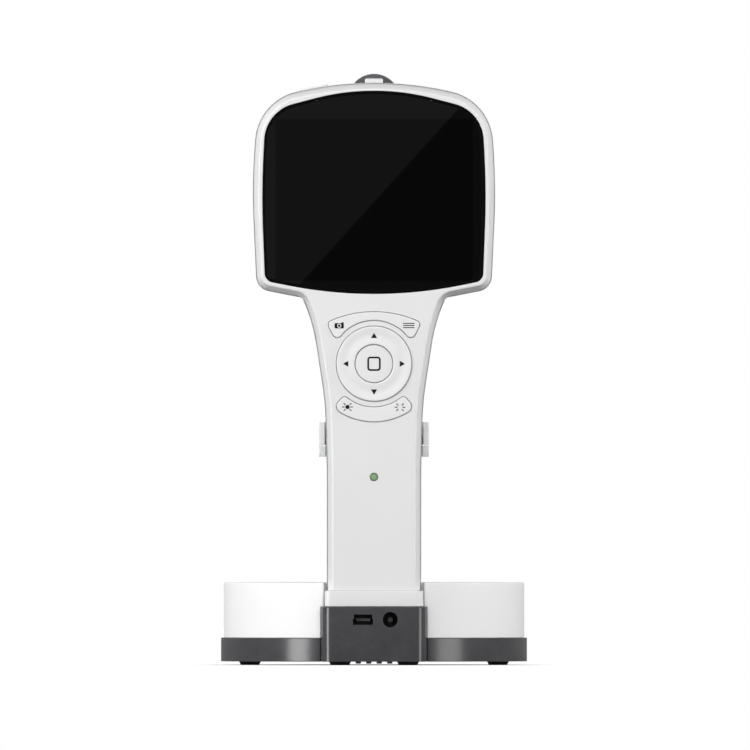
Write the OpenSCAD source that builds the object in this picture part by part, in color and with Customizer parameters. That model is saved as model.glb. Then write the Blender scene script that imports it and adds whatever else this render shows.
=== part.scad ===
// Handheld autorefractor on its charging dock, in millimetres.
// +Z is up, -Y is the operator's side with the screen, +Y is the patient's side.
// The origin is the middle of the footprint, on the surface that the dock stands on.

/* [Dock] */
// Diameter of the dark lower skirt
skirt_d = 122.4; // [116:0.1:134]
// Height of the skirt, above the feet
skirt_h = 9.5; // [8:0.1:12]
// Height of the white cover above the skirt
cover_h = 22; // [20:0.1:28]
// How far the skirt stands out from the cover
skirt_step = 1.1; // [0.5:0.1:2]
// Wall thickness of the dock mouldings
dock_wall = 2.2; // [1.8:0.1:3]
// Thickness of the tower's roof, over the sockets
tower_roof = 1.5; // [1.2:0.1:2]
// Rounding of the cover's top edge
cover_round = 1.6; // [0.8:0.1:2]
// Height of the rubber feet below the skirt
foot_h = 1.4; // [1:0.1:3]
// Diameter of a foot where it meets the tray
foot_d = 8.8; // [6:0.1:9]
// Height of the front tower, above the feet
tower_h = 21.9; // [21:0.1:26]
// Distance from the dock's axis to the front of the tower
tower_front = 66; // [62:0.5:72]
// How far the tower stands out beyond the handset's foot collar, on each side
tower_step = 1.3; // [0.8:0.1:2]
// Rounding of the tower's upright edges
tower_round = 4; // [3:0.1:6]
// Thickness of the steel ballast plate
ballast_t = 3; // [2:0.1:4]
// Diameter of the ballast plate
ballast_d = 96; // [80:1:98]

/* [Sockets] */
// Diameter of the power socket's opening
power_d = 6.1; // [5.6:0.1:6.4]
// Distance of the power socket right of the middle
power_x = 6.5; // [6:0.1:8]
// Width of the data socket's opening at its lower half
data_w = 8.1; // [7.6:0.1:8.6]
// Height of the data socket's opening
data_h = 4.1; // [3.6:0.1:4.4]
// Distance of the data socket left of the middle
data_x = 4.4; // [4.2:0.1:6]
// Height of both sockets below the tower's top
socket_drop = 5.1; // [4.8:0.1:6]

/* [Handset outline] */
// Height of the handset above its foot
handset_h = 209.4; // [205:0.2:216]
// Height of the head's underside above the foot
neck_z = 123.4; // [119:0.2:124]
// Width of the head, between the tangents of its bulged sides
head_w = 97.9; // [94:0.1:100]
// Width of the head at its lower corners
jaw_w = 94; // [92:0.2:95]
// Height of the lower corners above the underside
jaw_rise = 3.6; // [2.5:0.1:5]
// Radius of the crowned top
crown_r = 137.5; // [110:0.5:180]
// Slope of the crown where it meets the shoulders
crown_slope = 12.5; // [10:0.5:15]
// Width of the neck under the head
neck_w = 57.2; // [54:0.2:60]
// Width of the neck where its flare begins
flare_w = 48.8; // [47:0.2:50]
// Width of the grip at the navigation keys
waist_w = 39.2; // [38.4:0.2:40]
// Width of the grip
grip_w = 37.8; // [36:0.2:39]
// Depth of the grip, from the front face to its back
grip_depth = 42.5; // [40:0.5:44]
// Depth of the front cover, from the face to the parting line
cover_depth = 14; // [13:0.5:16]
// Width of the slanted edge round the front face
bevel_w = 2.6; // [2.2:0.1:2.8]
// Depth of the slanted edge
bevel_depth = 8; // [6:0.5:9]
// Wall thickness of the handset mouldings
wall = 2.2; // [1.8:0.1:2.4]
// Height of the foot collar
collar_h = 6.4; // [6:0.1:8]
// How far the foot collar stands out from the grip
collar_step = 0.8; // [0.5:0.1:1.2]

/* [Head depth] */
// Depth at which the head starts to narrow
barrel_start = 44; // [40:1:50]
// Depth at which the nose begins
nose_start = 84; // [78:1:88]
// Depth of the nose's front rim
nose_end = 114; // [110:1:117]
// Width of the nose
nose_w = 62; // [58:1:70]
// Height of the nose
nose_h = 73; // [68:1:75]
// Diameter of the measuring window
window_d = 30; // [26:1:34]

/* [Screen] */
// Width of the screen opening, between the tangents of its sides
screen_w = 89.8; // [88:0.1:90]
// Width of the screen opening at its lower corners
screen_jaw_w = 86.9; // [84:0.1:87]
// Gap between the top of the head and the screen opening
screen_top_gap = 3.3; // [3:0.1:5]
// Height of the opening's lowest point above the head's underside
screen_rise = 1.8; // [1.6:0.1:3]
// Thickness of the screen glass
glass_t = 1.8; // [1.2:0.1:2]
// Width of the black gasket round the glass
gasket_w = 0.8; // [0.6:0.1:1.2]

/* [Keys] */
// Distance of the navigation ring's centre below the head's underside
nav_drop = 26.3; // [25.4:0.1:28]
// Outer diameter of the navigation ring
nav_d = 30; // [28:0.1:30.4]
// Diameter of the centre key
ok_d = 15; // [13:0.1:16]
// How far the navigation ring stands out from the face
nav_proud = 0.7; // [0.4:0.1:1.2]
// How far the other keys stand out from the face
key_proud = 0.4; // [0.3:0.1:0.8]
// Running gap round every key
key_gap = 0.25; // [0.2:0.05:0.4]
// Inner radius of the two curved keys, from the ring's centre
key_in_r = 17.4; // [17:0.1:17.8]
// Height of the status lamp above the foot
lamp_z = 51.8; // [49:0.1:55]
// Diameter of the status lamp
lamp_d = 3.2; // [2.6:0.1:4]

/* [Trigger and forehead rest] */
// Height of the trigger's lower edge above the foot
trigger_z = 64.6; // [62:0.1:66]
// Height of the trigger
trigger_h = 9; // [8:0.1:10]
// Height of the fixed finger rest below the trigger
rest_h = 4.8; // [4:0.1:6]
// Stroke of the trigger
trigger_travel = 3; // [2:0.5:4]
// Width across the trigger and finger rest
trigger_w = 44; // [43:0.1:46]
// Width of the forehead arm
arm_w = 7.2; // [6:0.1:8]
// Height of the forehead arm
arm_h = 4; // [3.6:0.1:4.4]
// How far the arm's top lies above the top of the head
arm_rise = 1.6; // [1.4:0.1:2]
// Diameter of the forehead pad
pad_d = 20.8; // [18:0.2:24]
// How far the pad's top lies above the top of the head
pad_rise = 3.3; // [3:0.1:4]
// Distance from the nose's rim to the front of the retracted pad
pad_out = 16; // [14:0.5:20]
// Travel of the forehead rest
pad_travel = 15; // [5:1:18]

/* [Fits] */
// Gap between the handset's foot and the pocket of the dock
pocket_gap = 0.4; // [0.3:0.1:0.8]
// Gap between mouldings that meet
seam = 0.1; // [0.05:0.01:0.2]
// Gap round a part that slides
slide_gap = 0.3; // [0.2:0.05:0.4]
// Radial gap of a shaft or rod in its bore
shaft_gap = 0.05; // [0.03:0.01:0.1]

/* [Hidden] */
$fn = 64;

white = "#eceded";
dark = "#4c4c4e";

// Dock levels and places
skirt_top = foot_h + skirt_h;
cover_top = skirt_top + cover_h;
cover_d = skirt_d - 2 * skirt_step;
tower_top = foot_h + tower_h;
collar_w = grip_w + 2 * collar_step;
tower_w = collar_w + 2 * tower_step;
socket_z = tower_top - socket_drop;
face_y = 2 - tower_front;
seat_z = tower_top + 0.2;
nav_z = neck_z - nav_drop;
collar_back = grip_depth + 1;
tower_back = face_y + collar_back + 2.5;
pocket_back = tower_back + pocket_gap;
foot_x = 13.6;
side_foot_x = skirt_d / 2 - 11.6;
foot_spots = [for (x = [-foot_x, foot_x], y = [8 - tower_front, skirt_d / 2 - 9]) [x, y],
              [-side_foot_x, 0], [side_foot_x, 0]];
boss_spots = [[-34, 26], [34, 26], [-34, -30], [34, -30]];
boss_d = 7;
screw_d = 3;

// Handset levels and places, from the foot and the front face
plate_t = 2.2;
board_y = 7.2;
flange_gap = 0.7;
flange_y = plate_t + flange_gap;
flange_t = 0.8;
cell_d = 18.4;
cell_y = 21.5;
nose_top = handset_h - 2;
nose_low = nose_top - nose_h;
window_z = nose_top - nose_h / 2;
grip_back_r = 12;
trigger_arm_y = grip_depth - 14;
bench_z = nose_low + 9;
axis_z = window_z;
rod_x = 17;
rod_d = 3;
screw_y0 = 36;
passage_y = 26;
passage_d = 15;
cam_y = 20;
arm_top = handset_h + arm_rise;
arm_z = arm_top - arm_h;
rail_y0 = 16;
rail_y1 = nose_end - 2;
arm_y0 = rail_y0 + 4;
pad_t = 8;
arm_y1 = nose_end + pad_out - pad_t;

// ---- Vectors, rounded outlines and lofts ----

function unit(v) = v / norm(v);
function turned(v, a) = [v[0] * cos(a) - v[1] * sin(a), v[0] * sin(a) + v[1] * cos(a)];

// Arc that rounds the corner c = [x, y, radius, chords] between its neighbours a and b
function arc_at(a, c, b) = c[2] == 0 ? [[c[0], c[1]]] :
    let (p = [c[0], c[1]],
         u = unit([a[0], a[1]] - p),
         v = unit([b[0], b[1]] - p),
         half = 90 - acos(u * v) / 2,
         mid = p + unit(u + v) * c[2] / cos(half),
         start = p + u * c[2] * tan(half) - mid,
         way = cross(u, v) < 0 ? 1 : -1)
    [for (k = [0:c[3]]) mid + turned(start, way * 2 * half * k / c[3])];

// Closed outline with every corner rounded
function rounded(c) = let (n = len(c))
    [for (i = [0:n - 1]) each arc_at(c[(i + n - 1) % n], c[i], c[(i + 1) % n])];
function rounded_box(w, h, r, chords = 4) =
    rounded([for (s = [[-1, 1], [1, 1], [1, -1], [-1, -1]])
        [s[0] * w / 2, s[1] * h / 2, r, chords]]);

// Right half of a symmetric outline, from its top to its bottom
function mirrored(p) = [-p[0], p[1]];
function half_path(c) = let (n = len(c) - 1)
    [for (i = [0:n]) each
        [for (p = arc_at(i > 0 ? c[i - 1] : mirrored(c[1]), c[i],
                         i < n ? c[i + 1] : mirrored(c[n - 1])))
            if (p[0] > -0.001) [max(p[0], 0), p[1]]]];

// The same half, d further in. A flat end is raised or lowered by lift.
function end_shift(p, e, d, lift) = let (side = unit([e[1], -e[0]]))
    [p[0] + d / side[0] + lift * e[0] / e[1], p[1] + lift];
function inset(h, d, top = 0, bottom = 0) = let (n = len(h) - 1)
    [for (i = [0:n])
        let (e0 = i > 0 ? unit(h[i] - h[i - 1]) : unit(h[1] - h[0]),
             e1 = i < n ? unit(h[i + 1] - h[i]) : e0,
             a = i > 0 ? e0 : [e1[0], -e1[1]],
             b = i < n ? e1 : [e0[0], -e0[1]],
             m = unit([a[1], -a[0]] + [b[1], -b[0]]))
        i == 0 && h[0][0] > 0.01 ? end_shift(h[0], e0, d, -top) :
        i == n && h[n][0] > 0.01 ? end_shift(h[n], e0, d, bottom) :
        h[i] + m * d / (m * [a[1], -a[0]])];

// Full outline of a half, clockwise as the operator sees it
function both(h) = concat(h,
    [for (i = [len(h) - 1:-1:0]) if (h[i][0] > 0.001) mirrored(h[i])]);
function blend(a, b, t) = [for (i = [0:len(a) - 1]) a[i] * (1 - t) + b[i] * t];

// Solid through a list of [half outline, y]. A closed one joins its last section to its first.
module loft(sections, closed = false) {
    h = sections[0][0];
    n = len(h);
    rings = [for (s = sections) [for (p = both(s[0])) [p[0], s[1], p[1]]]];
    size = len(rings[0]);
    count = len(rings);
    last_on_axis = h[n - 1][0] <= 0.001 ? 1 : 0;
    function left(i) = h[i][0] <= 0.001 ? i : 2 * n - 1 - i - last_on_axis;
    function at(j, i) = (j % count) * size + (i % size);
    function cap(j, flip) = [for (i = [0:n - 2])
        let (q = [i, i + 1, left(i + 1), left(i)])
        for (t = [[q[0], q[1], q[2]], [q[0], q[2], q[3]]])
            if (t[0] != t[1] && t[1] != t[2] && t[0] != t[2])
                flip ? [at(j, t[2]), at(j, t[1]), at(j, t[0])]
                     : [at(j, t[0]), at(j, t[1]), at(j, t[2])]];
    bands = [for (j = [0:count - (closed ? 1 : 2)], i = [0:size - 1])
        let (a = at(j, i), b = at(j, i + 1), c = at(j + 1, i + 1), d = at(j + 1, i))
        each [[a, d, c], [a, c, b]]];
    caps = closed ? [] : concat(cap(0, false), cap(count - 1, true));
    polyhedron([for (r = rings) each r], concat(caps, bands));
}

// ---- Placing ----

module handset() translate([0, face_y, seat_z]) children();
// Upright profile in X and Z, pushed back from y0 by t
module slab(y0, t) translate([0, y0 + t, 0]) rotate([90, 0, 0]) linear_extrude(t) children();
module rod(d, y0, y1) translate([0, y1, 0]) rotate([90, 0, 0]) cylinder(d = d, h = y1 - y0);
module block(a, b) translate(a) cube(b - a);
module both_sides() for (s = [0, 1]) mirror([s, 0, 0]) children();

// ---- Outlines of the handset ----

crown_z = handset_h + crown_r * (1 / cos(crown_slope) - 1);
shoulder_x = head_w / 2 - 2.65;
shoulder_r = 21.3;
side_z = neck_z + 0.536 * (handset_h - neck_z);
side_r = 250;
jaw_r = 6.4;
neck_r = 5;
flare_z = neck_z - 10.4;
flare_r = 70;
waist_z = neck_z - 41.9;
waist_r = 120;
grip_z = neck_z - 68.9;
grip_r = 200;
head_top_corners = [
    [0, crown_z, crown_r, 6],
    [shoulder_x, crown_z - shoulder_x * tan(crown_slope), shoulder_r, 8],
    [head_w / 2, side_z, side_r, 4],
    [jaw_w / 2, neck_z + jaw_rise, jaw_r, 6]];
flare_corners = [
    [flare_w / 2, flare_z, flare_r, 4],
    [waist_w / 2, waist_z, waist_r, 3],
    [grip_w / 2, grip_z, grip_r, 1]];
cover_half = half_path(concat(head_top_corners, [[neck_w / 2, neck_z, neck_r, 4]],
    flare_corners, [[grip_w / 2, collar_h, 0, 0]]));
head_half = half_path(concat(head_top_corners,
    [[neck_w / 2, neck_z, 4 * neck_r, 2], [0, neck_z, 0, 0]]));
nose_slope = 5;
nose_side_r = 340;
nose_corner_r = 14;
nose_half = half_path([
    [0, nose_top + crown_r * (1 / cos(nose_slope) - 1), crown_r, 6],
    [nose_w / 2 - 1.5, nose_top - 2, nose_corner_r, 8],
    [nose_w / 2, window_z, nose_side_r, 4],
    [nose_w / 2 - 1.5, nose_low + 1.5, nose_corner_r, 6],
    [nose_w / 4, nose_low + 0.4, 20, 2],
    [0, nose_low, 0, 0]]);
grip_half = half_path(concat([[neck_w / 2, neck_z - 2 * seam, 0, 0]], flare_corners,
    [[grip_w / 2, collar_h + seam, 0, 0]]));

glass_low_slope = 11.2;
glass_low_r = 177;
glass_low = neck_z + screen_rise - glass_low_r * (1 / cos(glass_low_slope) - 1);
glass_top_slope = 14.65;
glass_top_r = 93.7;
glass_top = handset_h - screen_top_gap + glass_top_r * (1 / cos(glass_top_slope) - 1);
glass_shoulder = screen_w / 2 - 1.9;
glass_shoulder_r = 15.25;
glass_side_z = neck_z + 0.521 * (handset_h - neck_z);
glass_side_r = 360;
glass_jaw_r = 3.6;
screen_half = half_path([
    [0, glass_top, glass_top_r, 6],
    [glass_shoulder, glass_top - glass_shoulder * tan(glass_top_slope), glass_shoulder_r, 7],
    [screen_w / 2, glass_side_z, glass_side_r, 4],
    [screen_jaw_w / 2, glass_low + screen_jaw_w / 2 * tan(glass_low_slope), glass_jaw_r, 5],
    [0, glass_low, glass_low_r, 6]]);

// Curved keys: an outer arc, two rounded corners and an inner arc round the ring's centre
function sweep(r, mid_z, a0, a1, chords) =
    [for (k = [0:chords]) let (a = a0 + (a1 - a0) * k / chords) [r * sin(a), mid_z + r * cos(a)]];
function key_path(outer, corner, tip, inner) = let (n = len(outer) - 1)
    concat(outer, arc_at(outer[n], corner, tip), arc_at(corner, tip, inner[0]), inner);
capture_r = 41.5;
capture_mid = -20.2;
light_r = 25.8;
light_mid = 2.6;
capture_end = [18.9, 16.75];
capture_toe = [14.9, 8.6];
capture_end_r = 1.6;
capture_toe_r = 1.9;
light_toe = [12, -12.4];
light_end = [16.2, -17];
light_toe_r = 1.6;
light_end_r = 2.6;
capture_half = key_path(sweep(capture_r, capture_mid, 0, 24, 5),
    [capture_end[0], capture_end[1], capture_end_r, 4],
    [capture_toe[0], capture_toe[1], capture_toe_r, 4], sweep(key_in_r, 0, 47.5, 0, 6));
light_half = key_path(sweep(key_in_r, 0, 180, 143.5, 5),
    [light_toe[0], light_toe[1], light_toe_r, 4],
    [light_end[0], light_end[1], light_end_r, 5], sweep(light_r, light_mid, 147, 180, 5));

module nav_place() translate([0, 0, nav_z]) children();

// Screw bosses of the grip, the same in both shells
boss_w = 5;
boss_x = grip_w / 2 - 5.6;
boss_z = [collar_h + 8, lamp_z - 12];
module at_bosses() both_sides() for (z = boss_z) translate([boss_x, 0, z]) children();

// ---- Dock ----

module tower_plan(grow = 0) translate([0, (tower_back - tower_front) / 2])
    polygon(rounded_box(tower_w + 2 * grow, tower_back + tower_front + 2 * grow,
        tower_round + grow));

module dock_base_tray() color(dark) difference() {
    union() {
        translate([0, 0, foot_h]) cylinder(d = skirt_d, h = skirt_h, $fn = 128);
        // tongue under the tower
        translate([0, 0, foot_h]) linear_extrude(dock_wall) tower_plan(-dock_wall - seam);
        // skids under the tongue
        for (x = [-6.3, -2.1, 2.1, 6.3])
            block([x - 1.1, 3 - tower_front, foot_h - 0.8], [x + 1.1, 12 - tower_front, foot_h + 0.1]);
    }
    difference() {
        translate([0, 0, foot_h + dock_wall])
            cylinder(d = skirt_d - 2 * dock_wall, h = skirt_h, $fn = 128);
        for (p = boss_spots) translate([p[0], p[1], 0]) cylinder(d = boss_d, h = skirt_top);
    }
    // the tower's walls stand round the tongue
    difference() {
        translate([0, 0, foot_h - 1]) linear_extrude(skirt_h + 2) tower_plan(seam);
        translate([0, 0, foot_h - 2]) linear_extrude(dock_wall + 2) tower_plan(-dock_wall - seam);
    }
    for (p = foot_spots) translate([p[0], p[1], foot_h - 1]) cylinder(d = foot_d, h = 1.6);
    for (p = boss_spots) translate([p[0], p[1], 0]) cylinder(d = screw_d + 0.4, h = skirt_top + 1);
    for (p = boss_spots) translate([p[0], p[1], 0]) cylinder(d = 6, h = foot_h + 1.6);
}

module dock_feet() color("#202022") for (p = foot_spots) translate([p[0], p[1], 0]) {
    cylinder(d1 = foot_d - 1.2, d2 = foot_d, h = foot_h);
    translate([0, 0, foot_h]) cylinder(d = foot_d - 2 * seam, h = 0.6 - seam);
}

cover_r = cover_d / 2;
module cover_profile() polygon(concat(
    [[0, cover_top], [cover_r - cover_round, cover_top]],
    [for (a = [80:-20:0]) [cover_r - cover_round + cover_round * cos(a),
        cover_top - cover_round + cover_round * sin(a)]],
    [[cover_r, skirt_top + seam], [cover_r - dock_wall, skirt_top + seam],
     [cover_r - dock_wall, cover_top - dock_wall], [0, cover_top - dock_wall]]));
module collar_plan(grow = 0) translate([0, face_y + (collar_back - 1) / 2])
    polygon(rounded([for (s = [[-1, 1, 1], [1, 1, 1], [1, -1, 0], [-1, -1, 0]])
        [s[0] * (collar_w / 2 + grow), s[1] * ((collar_back + 1) / 2 + grow),
         s[2] == 1 ? grip_back_r : 3 + grow, s[2] == 1 ? 5 : 3]]));
module pocket_plan(w, back) polygon([[-w, back], [w, back], [w, -skirt_d], [-w, -skirt_d]]);
pocket_x = collar_w / 2 + pocket_gap;
liner_x = tower_w / 2 + seam + dock_wall;

module dock_top_cover() color(white) difference() {
    union() {
        rotate_extrude($fn = 128) cover_profile();
        // liner of the pocket that the handset stands in
        intersection() {
            translate([0, 0, skirt_top + seam]) cylinder(d = cover_d - 1, h = cover_h - 1, $fn = 128);
            translate([0, 0, skirt_top + seam]) linear_extrude(cover_h)
                pocket_plan(liner_x, pocket_back + dock_wall);
        }
        for (p = boss_spots) translate([p[0], p[1], skirt_top + seam])
            cylinder(d = boss_d, h = cover_h - 1);
    }
    translate([0, 0, tower_top + seam]) linear_extrude(cover_h)
        pocket_plan(pocket_x, pocket_back);
    translate([0, 0, 0]) linear_extrude(tower_top + seam + 0.01)
        pocket_plan(tower_w / 2 + seam, tower_back + seam);
    for (p = boss_spots) translate([p[0], p[1], 0]) cylinder(d = screw_d - 0.5, h = skirt_top + 14);
}

module data_plan(grow = 0) translate([-data_x, socket_z]) polygon([
    for (p = [[-0.5, -0.5], [-0.5, 0.05], [-0.455, 0.13], [-0.455, 0.5],
              [0.455, 0.5], [0.455, 0.13], [0.5, 0.05], [0.5, -0.5]])
        [p[0] * (data_w + 2 * grow), p[1] * (data_h + 2 * grow)]]);
module power_axis() translate([power_x, 0, socket_z]) children();

module dock_tower() color(dark) difference() {
    union() {
        difference() {
            translate([0, 0, foot_h]) linear_extrude(tower_h) tower_plan();
            translate([0, 0, foot_h - 1]) linear_extrude(tower_h - tower_roof + 1)
                tower_plan(-dock_wall);
        }
        // ledges for the board
        both_sides() block([tower_w / 2 - dock_wall - 2, -tower_front + 3, socket_z - 6.4],
            [tower_w / 2 - dock_wall + 0.01, tower_back - 6, socket_z - 4.4]);
    }
    slab(-tower_front - 1, dock_wall + 2) data_plan();
    power_axis() rod(power_d, -tower_front - 1, -tower_front + dock_wall + 1);
    // wires pass to the rear of the dock
    block([-12, tower_back - dock_wall - 1, foot_h + 3], [12, tower_back + 1, foot_h + 12]);
    // well for the contact carrier
    translate([-carrier_w / 2 - seam, carrier_y - carrier_l / 2 - seam, tower_top - dock_wall - 1])
        cube([carrier_w + 2 * seam, carrier_l + 2 * seam, dock_wall + 2]);
}

module ballast_plate() color("silver") difference() {
    translate([0, 0, foot_h + dock_wall]) cylinder(d = ballast_d, h = ballast_t);
    translate([-ballast_d, -ballast_d, 0])
        cube([2 * ballast_d, ballast_d + tower_back + 1, skirt_top]);
    for (p = boss_spots) translate([p[0], p[1], 0]) cylinder(d = boss_d + 1, h = skirt_top);
}

dock_board_top = socket_z - data_h / 2 - 0.35;
module dock_board() color("#2c6e49") difference() {
    block([-tower_w / 2 + dock_wall + 0.5, -tower_front + dock_wall + 0.9, dock_board_top - 1.6],
        [tower_w / 2 - dock_wall - 0.5, tower_back - 8, dock_board_top]);
    block([power_x - 4.7, -tower_front, dock_board_top - 2],
        [power_x + 4.7, -tower_front + dock_wall + 14.8, dock_board_top + 1]);
}

module data_socket() color("#b8bcc0") difference() {
    slab(-tower_front + dock_wall + 0.1, 9) data_plan(0.3);
    slab(-tower_front + dock_wall, 7) difference() {
        data_plan();
        translate([-data_x, socket_z]) square([5.6, 1.1], center = true);
    }
}

module power_socket() color("#1c1c1e") power_axis() {
    difference() {
        block([-4.5, -tower_front + dock_wall + 0.1, -5.5],
            [4.5, -tower_front + dock_wall + 14.2, socket_drop - tower_roof - seam]);
        rod(power_d, -tower_front, -tower_front + dock_wall + 10);
    }
    rod(2, -tower_front + dock_wall + 1, -tower_front + dock_wall + 10.01);
}

carrier_w = 22;
carrier_l = 10;
carrier_rise = 2;
carrier_y = face_y + 22;
pin_d = 1.5;
pin_spots = [for (k = [-2:2]) k * 4];
pin_top = seat_z + 3.2;
module contact_carrier() color("#1c1c1e") difference() {
    translate([-carrier_w / 2, carrier_y - carrier_l / 2, tower_top - dock_wall - 1])
        cube([carrier_w, carrier_l, dock_wall + 1 + carrier_rise]);
    for (x = pin_spots) translate([x, carrier_y, tower_top - dock_wall - 2])
        cylinder(d = pin_d + 2 * shaft_gap, h = 12);
}
module contact_pins() color("gold") for (x = pin_spots) translate([x, carrier_y, 0]) {
    translate([0, 0, tower_top - dock_wall + 0.4])
        cylinder(d = pin_d, h = pin_top - pin_d / 2 - tower_top + dock_wall - 0.4);
    translate([0, 0, pin_top - pin_d / 2]) sphere(d = pin_d);
}

module dock_screws() color("silver") for (p = boss_spots) translate([p[0], p[1], 0]) {
    translate([0, 0, foot_h + 0.2]) cylinder(d = 5.4, h = 1.4);
    translate([0, 0, foot_h + 1.5]) cylinder(d = screw_d - 0.6, h = skirt_h + 8);
}

// ---- Handset shells ----

module front_cover() color(white) handset() {
    loft([[inset(cover_half, bevel_w, 0, plate_t), 0],
          [inset(cover_half, bevel_w - 0.5), 0.3],
          [inset(cover_half, 0.4), bevel_depth - 2.5],
          [cover_half, bevel_depth],
          [cover_half, cover_depth],
          [inset(cover_half, wall, 0, plate_t), cover_depth],
          [inset(cover_half, bevel_w, 0, plate_t), bevel_depth - 2.5],
          [inset(cover_half, bevel_w, 0, plate_t), plate_t]], closed = true);
    slab(0, plate_t) difference() {
        polygon(both(inset(cover_half, bevel_w, 0, plate_t)));
        polygon(both(screen_half));
        translate([0, nav_z]) {
            circle(d = nav_d + 2 * key_gap);
            polygon(both(inset(capture_half, -key_gap)));
            polygon(both(inset(light_half, -key_gap)));
        }
        translate([0, lamp_z]) circle(d = lamp_d + 2 * seam);
    }
    at_bosses() difference() {
        rod(boss_w, plate_t - 0.01, cover_depth - seam);
        rod(2.1, plate_t + 2, cover_depth);
    }
}

function ease(t) = t * t * (3 - 2 * t);
function head_at(y, d = 0) = let (t = min(max((y - barrel_start) / (nose_start - barrel_start), 0), 1))
    inset(blend(head_half, nose_half, ease(t)), d);
barrel_ys = [for (k = [0:6]) barrel_start + (nose_start - barrel_start) * k / 6];

module head_rear_shell() color(white) handset() difference() {
    loft(concat(
        [[head_half, cover_depth + seam]],
        [for (y = barrel_ys) [head_at(y), y]],
        [[head_at(nose_end), nose_end - 2], [head_at(nose_end, 0.8), nose_end],
         [head_at(nose_end, wall), nose_end]],
        [for (k = [6:-1:0]) [head_at(barrel_ys[k], wall), barrel_ys[k]]],
        [[inset(head_half, wall), cover_depth + seam]]), closed = true);
    // slot for the forehead rail
    block([-rail_w / 2 - seam, rail_y0 - seam, rail_z - seam],
        [rail_w / 2 + seam, nose_end + 1, handset_h + 2]);
    // passage to the grip
    translate([0, passage_y, neck_z - 1]) cylinder(d = passage_d, h = 6);
    power_key_place() translate([0, 0, -wall - 3]) linear_extrude(wall + 5)
        polygon(rounded_box(power_l + 2 * key_gap, 5 + 2 * key_gap, 2.4 + key_gap));
}

module grip_rear_shell() {
    r = grip_back_r;
    ri = r - wall;
    turns = [0, 22.5, 45, 67.5, 90];
    color(white) handset() difference() {
        union() {
            loft(concat(
                [for (k = [4:-1:0]) [inset(grip_half, wall + ri * (1 - cos(turns[k])), wall, wall),
                    grip_depth - r + ri * sin(turns[k])]],
                [[inset(grip_half, wall, wall, wall), cover_depth + seam],
                 [grip_half, cover_depth + seam]],
                [for (a = turns) [inset(grip_half, r * (1 - cos(a))), grip_depth - r + r * sin(a)]]));
            at_bosses() rod(boss_w, cover_depth + seam, grip_depth - 4);
        }
        at_bosses() {
            rod(2.4, cover_depth, grip_depth);
            rod(4.4, cover_depth + 13.9, grip_depth);
        }
        // passage to the head
        translate([0, passage_y, neck_z - 5]) cylinder(d = passage_d, h = 6);
        // guide hole of the trigger's plunger
        translate([0, 0, trigger_z + trigger_h / 2])
            rod(plunger_d + 2 * slide_gap, grip_depth - 6, grip_depth + 2);
    }
}

collar_recess_h = 3.4;
module foot_collar() color(white) difference() {
    translate([0, 0, seat_z]) linear_extrude(collar_h - seam) collar_plan();
    translate([-carrier_w / 2 - 1, carrier_y - carrier_l / 2 - 1, seat_z - 1])
        cube([carrier_w + 2, carrier_l + 2, collar_recess_h + 1]);
}
module foot_contacts() color("gold") for (x = pin_spots)
    translate([x, carrier_y, seat_z + collar_recess_h - 0.1]) cylinder(d = 2.6, h = 0.1);

// ---- Screen and boards ----

module ring_of(h, outer, inner) difference() {
    polygon(both(inset(h, outer)));
    polygon(both(inset(h, inner)));
}
module display_gasket() color("#0a0a0b") handset() {
    slab(0.1, plate_t) ring_of(screen_half, seam, gasket_w);
    slab(plate_t + seam, 0.8) ring_of(screen_half, -0.3, gasket_w + 2);
}
module display_glass() color("#141416") handset()
    slab(0.15, glass_t) polygon(both(inset(screen_half, gasket_w + seam)));

lcd_w = screen_jaw_w - 5.7;
lcd_h = handset_h - neck_z - 19.2;
lcd_z = neck_z + 6;
lcd_y = plate_t + 1.1;
module lcd_panel() color("#2b2f36") handset()
    block([-lcd_w / 2, lcd_y, lcd_z], [lcd_w / 2, lcd_y + 3.8, lcd_z + lcd_h]);
module lcd_bracket() color("#b8bcc0") handset() difference() {
    slab(lcd_y + 2.5, 2.5) intersection() {
        translate([-lcd_w / 2 - 1, lcd_z - 0.6]) square([lcd_w + 2, lcd_h + 1.6]);
        polygon(both(inset(cover_half, bevel_w + 0.5)));
    }
    block([-lcd_w / 2 - seam, lcd_y, lcd_z - 1],
        [lcd_w / 2 + seam, lcd_y + 3.9, lcd_z + lcd_h + seam]);
    slab(lcd_y, 6) for (x = [-20, 20], z = [22, 48])
        translate([x, lcd_z + z]) polygon(rounded_box(28, 18, 4));
}

main_y = lcd_y + 6.6;
module main_board() color("#2c6e49") handset() {
    block([-38, main_y, lcd_z + 2], [38, main_y + 1.6, lcd_z + lcd_h - 2]);
    for (c = [[-20, 40, 14], [8, 44, 18], [22, 20, 10], [-14, 16, 12]])
        block([c[0] - c[2] / 2, main_y + 1.6, lcd_z + c[1] - c[2] / 2],
            [c[0] + c[2] / 2, main_y + 2.8, lcd_z + c[1] + c[2] / 2]);
    // stand-offs to the screen's bracket
    for (x = [-34, 34], z = [8, lcd_h - 8])
        translate([x, 0, lcd_z + z]) rod(4, lcd_y + 5, main_y);
}

key_board_w = 31;
module key_board() color("#2c6e49") handset() {
    block([-key_board_w / 2, board_y, lamp_z - 7.3],
        [key_board_w / 2, board_y + 1.2, nav_z + 19]);
    // contact domes
    for (p = [[0, 0], [11, 0], [-11, 0], [0, 11], [0, -11], [14, 14.6], [-14, 14.6], [11.6, -15.4],
              [-11.6, -15.4]])
        translate([p[0], 0, nav_z + p[1]]) rod(3.6, board_y - 0.35, board_y);
}
module status_lamp() color("#8eae82") handset() translate([0, 0, lamp_z]) {
    rod(lamp_d, -0.1, board_y - 0.1);
    rod(lamp_d + 2, plate_t + 0.2, plate_t + 1);
}

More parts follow.
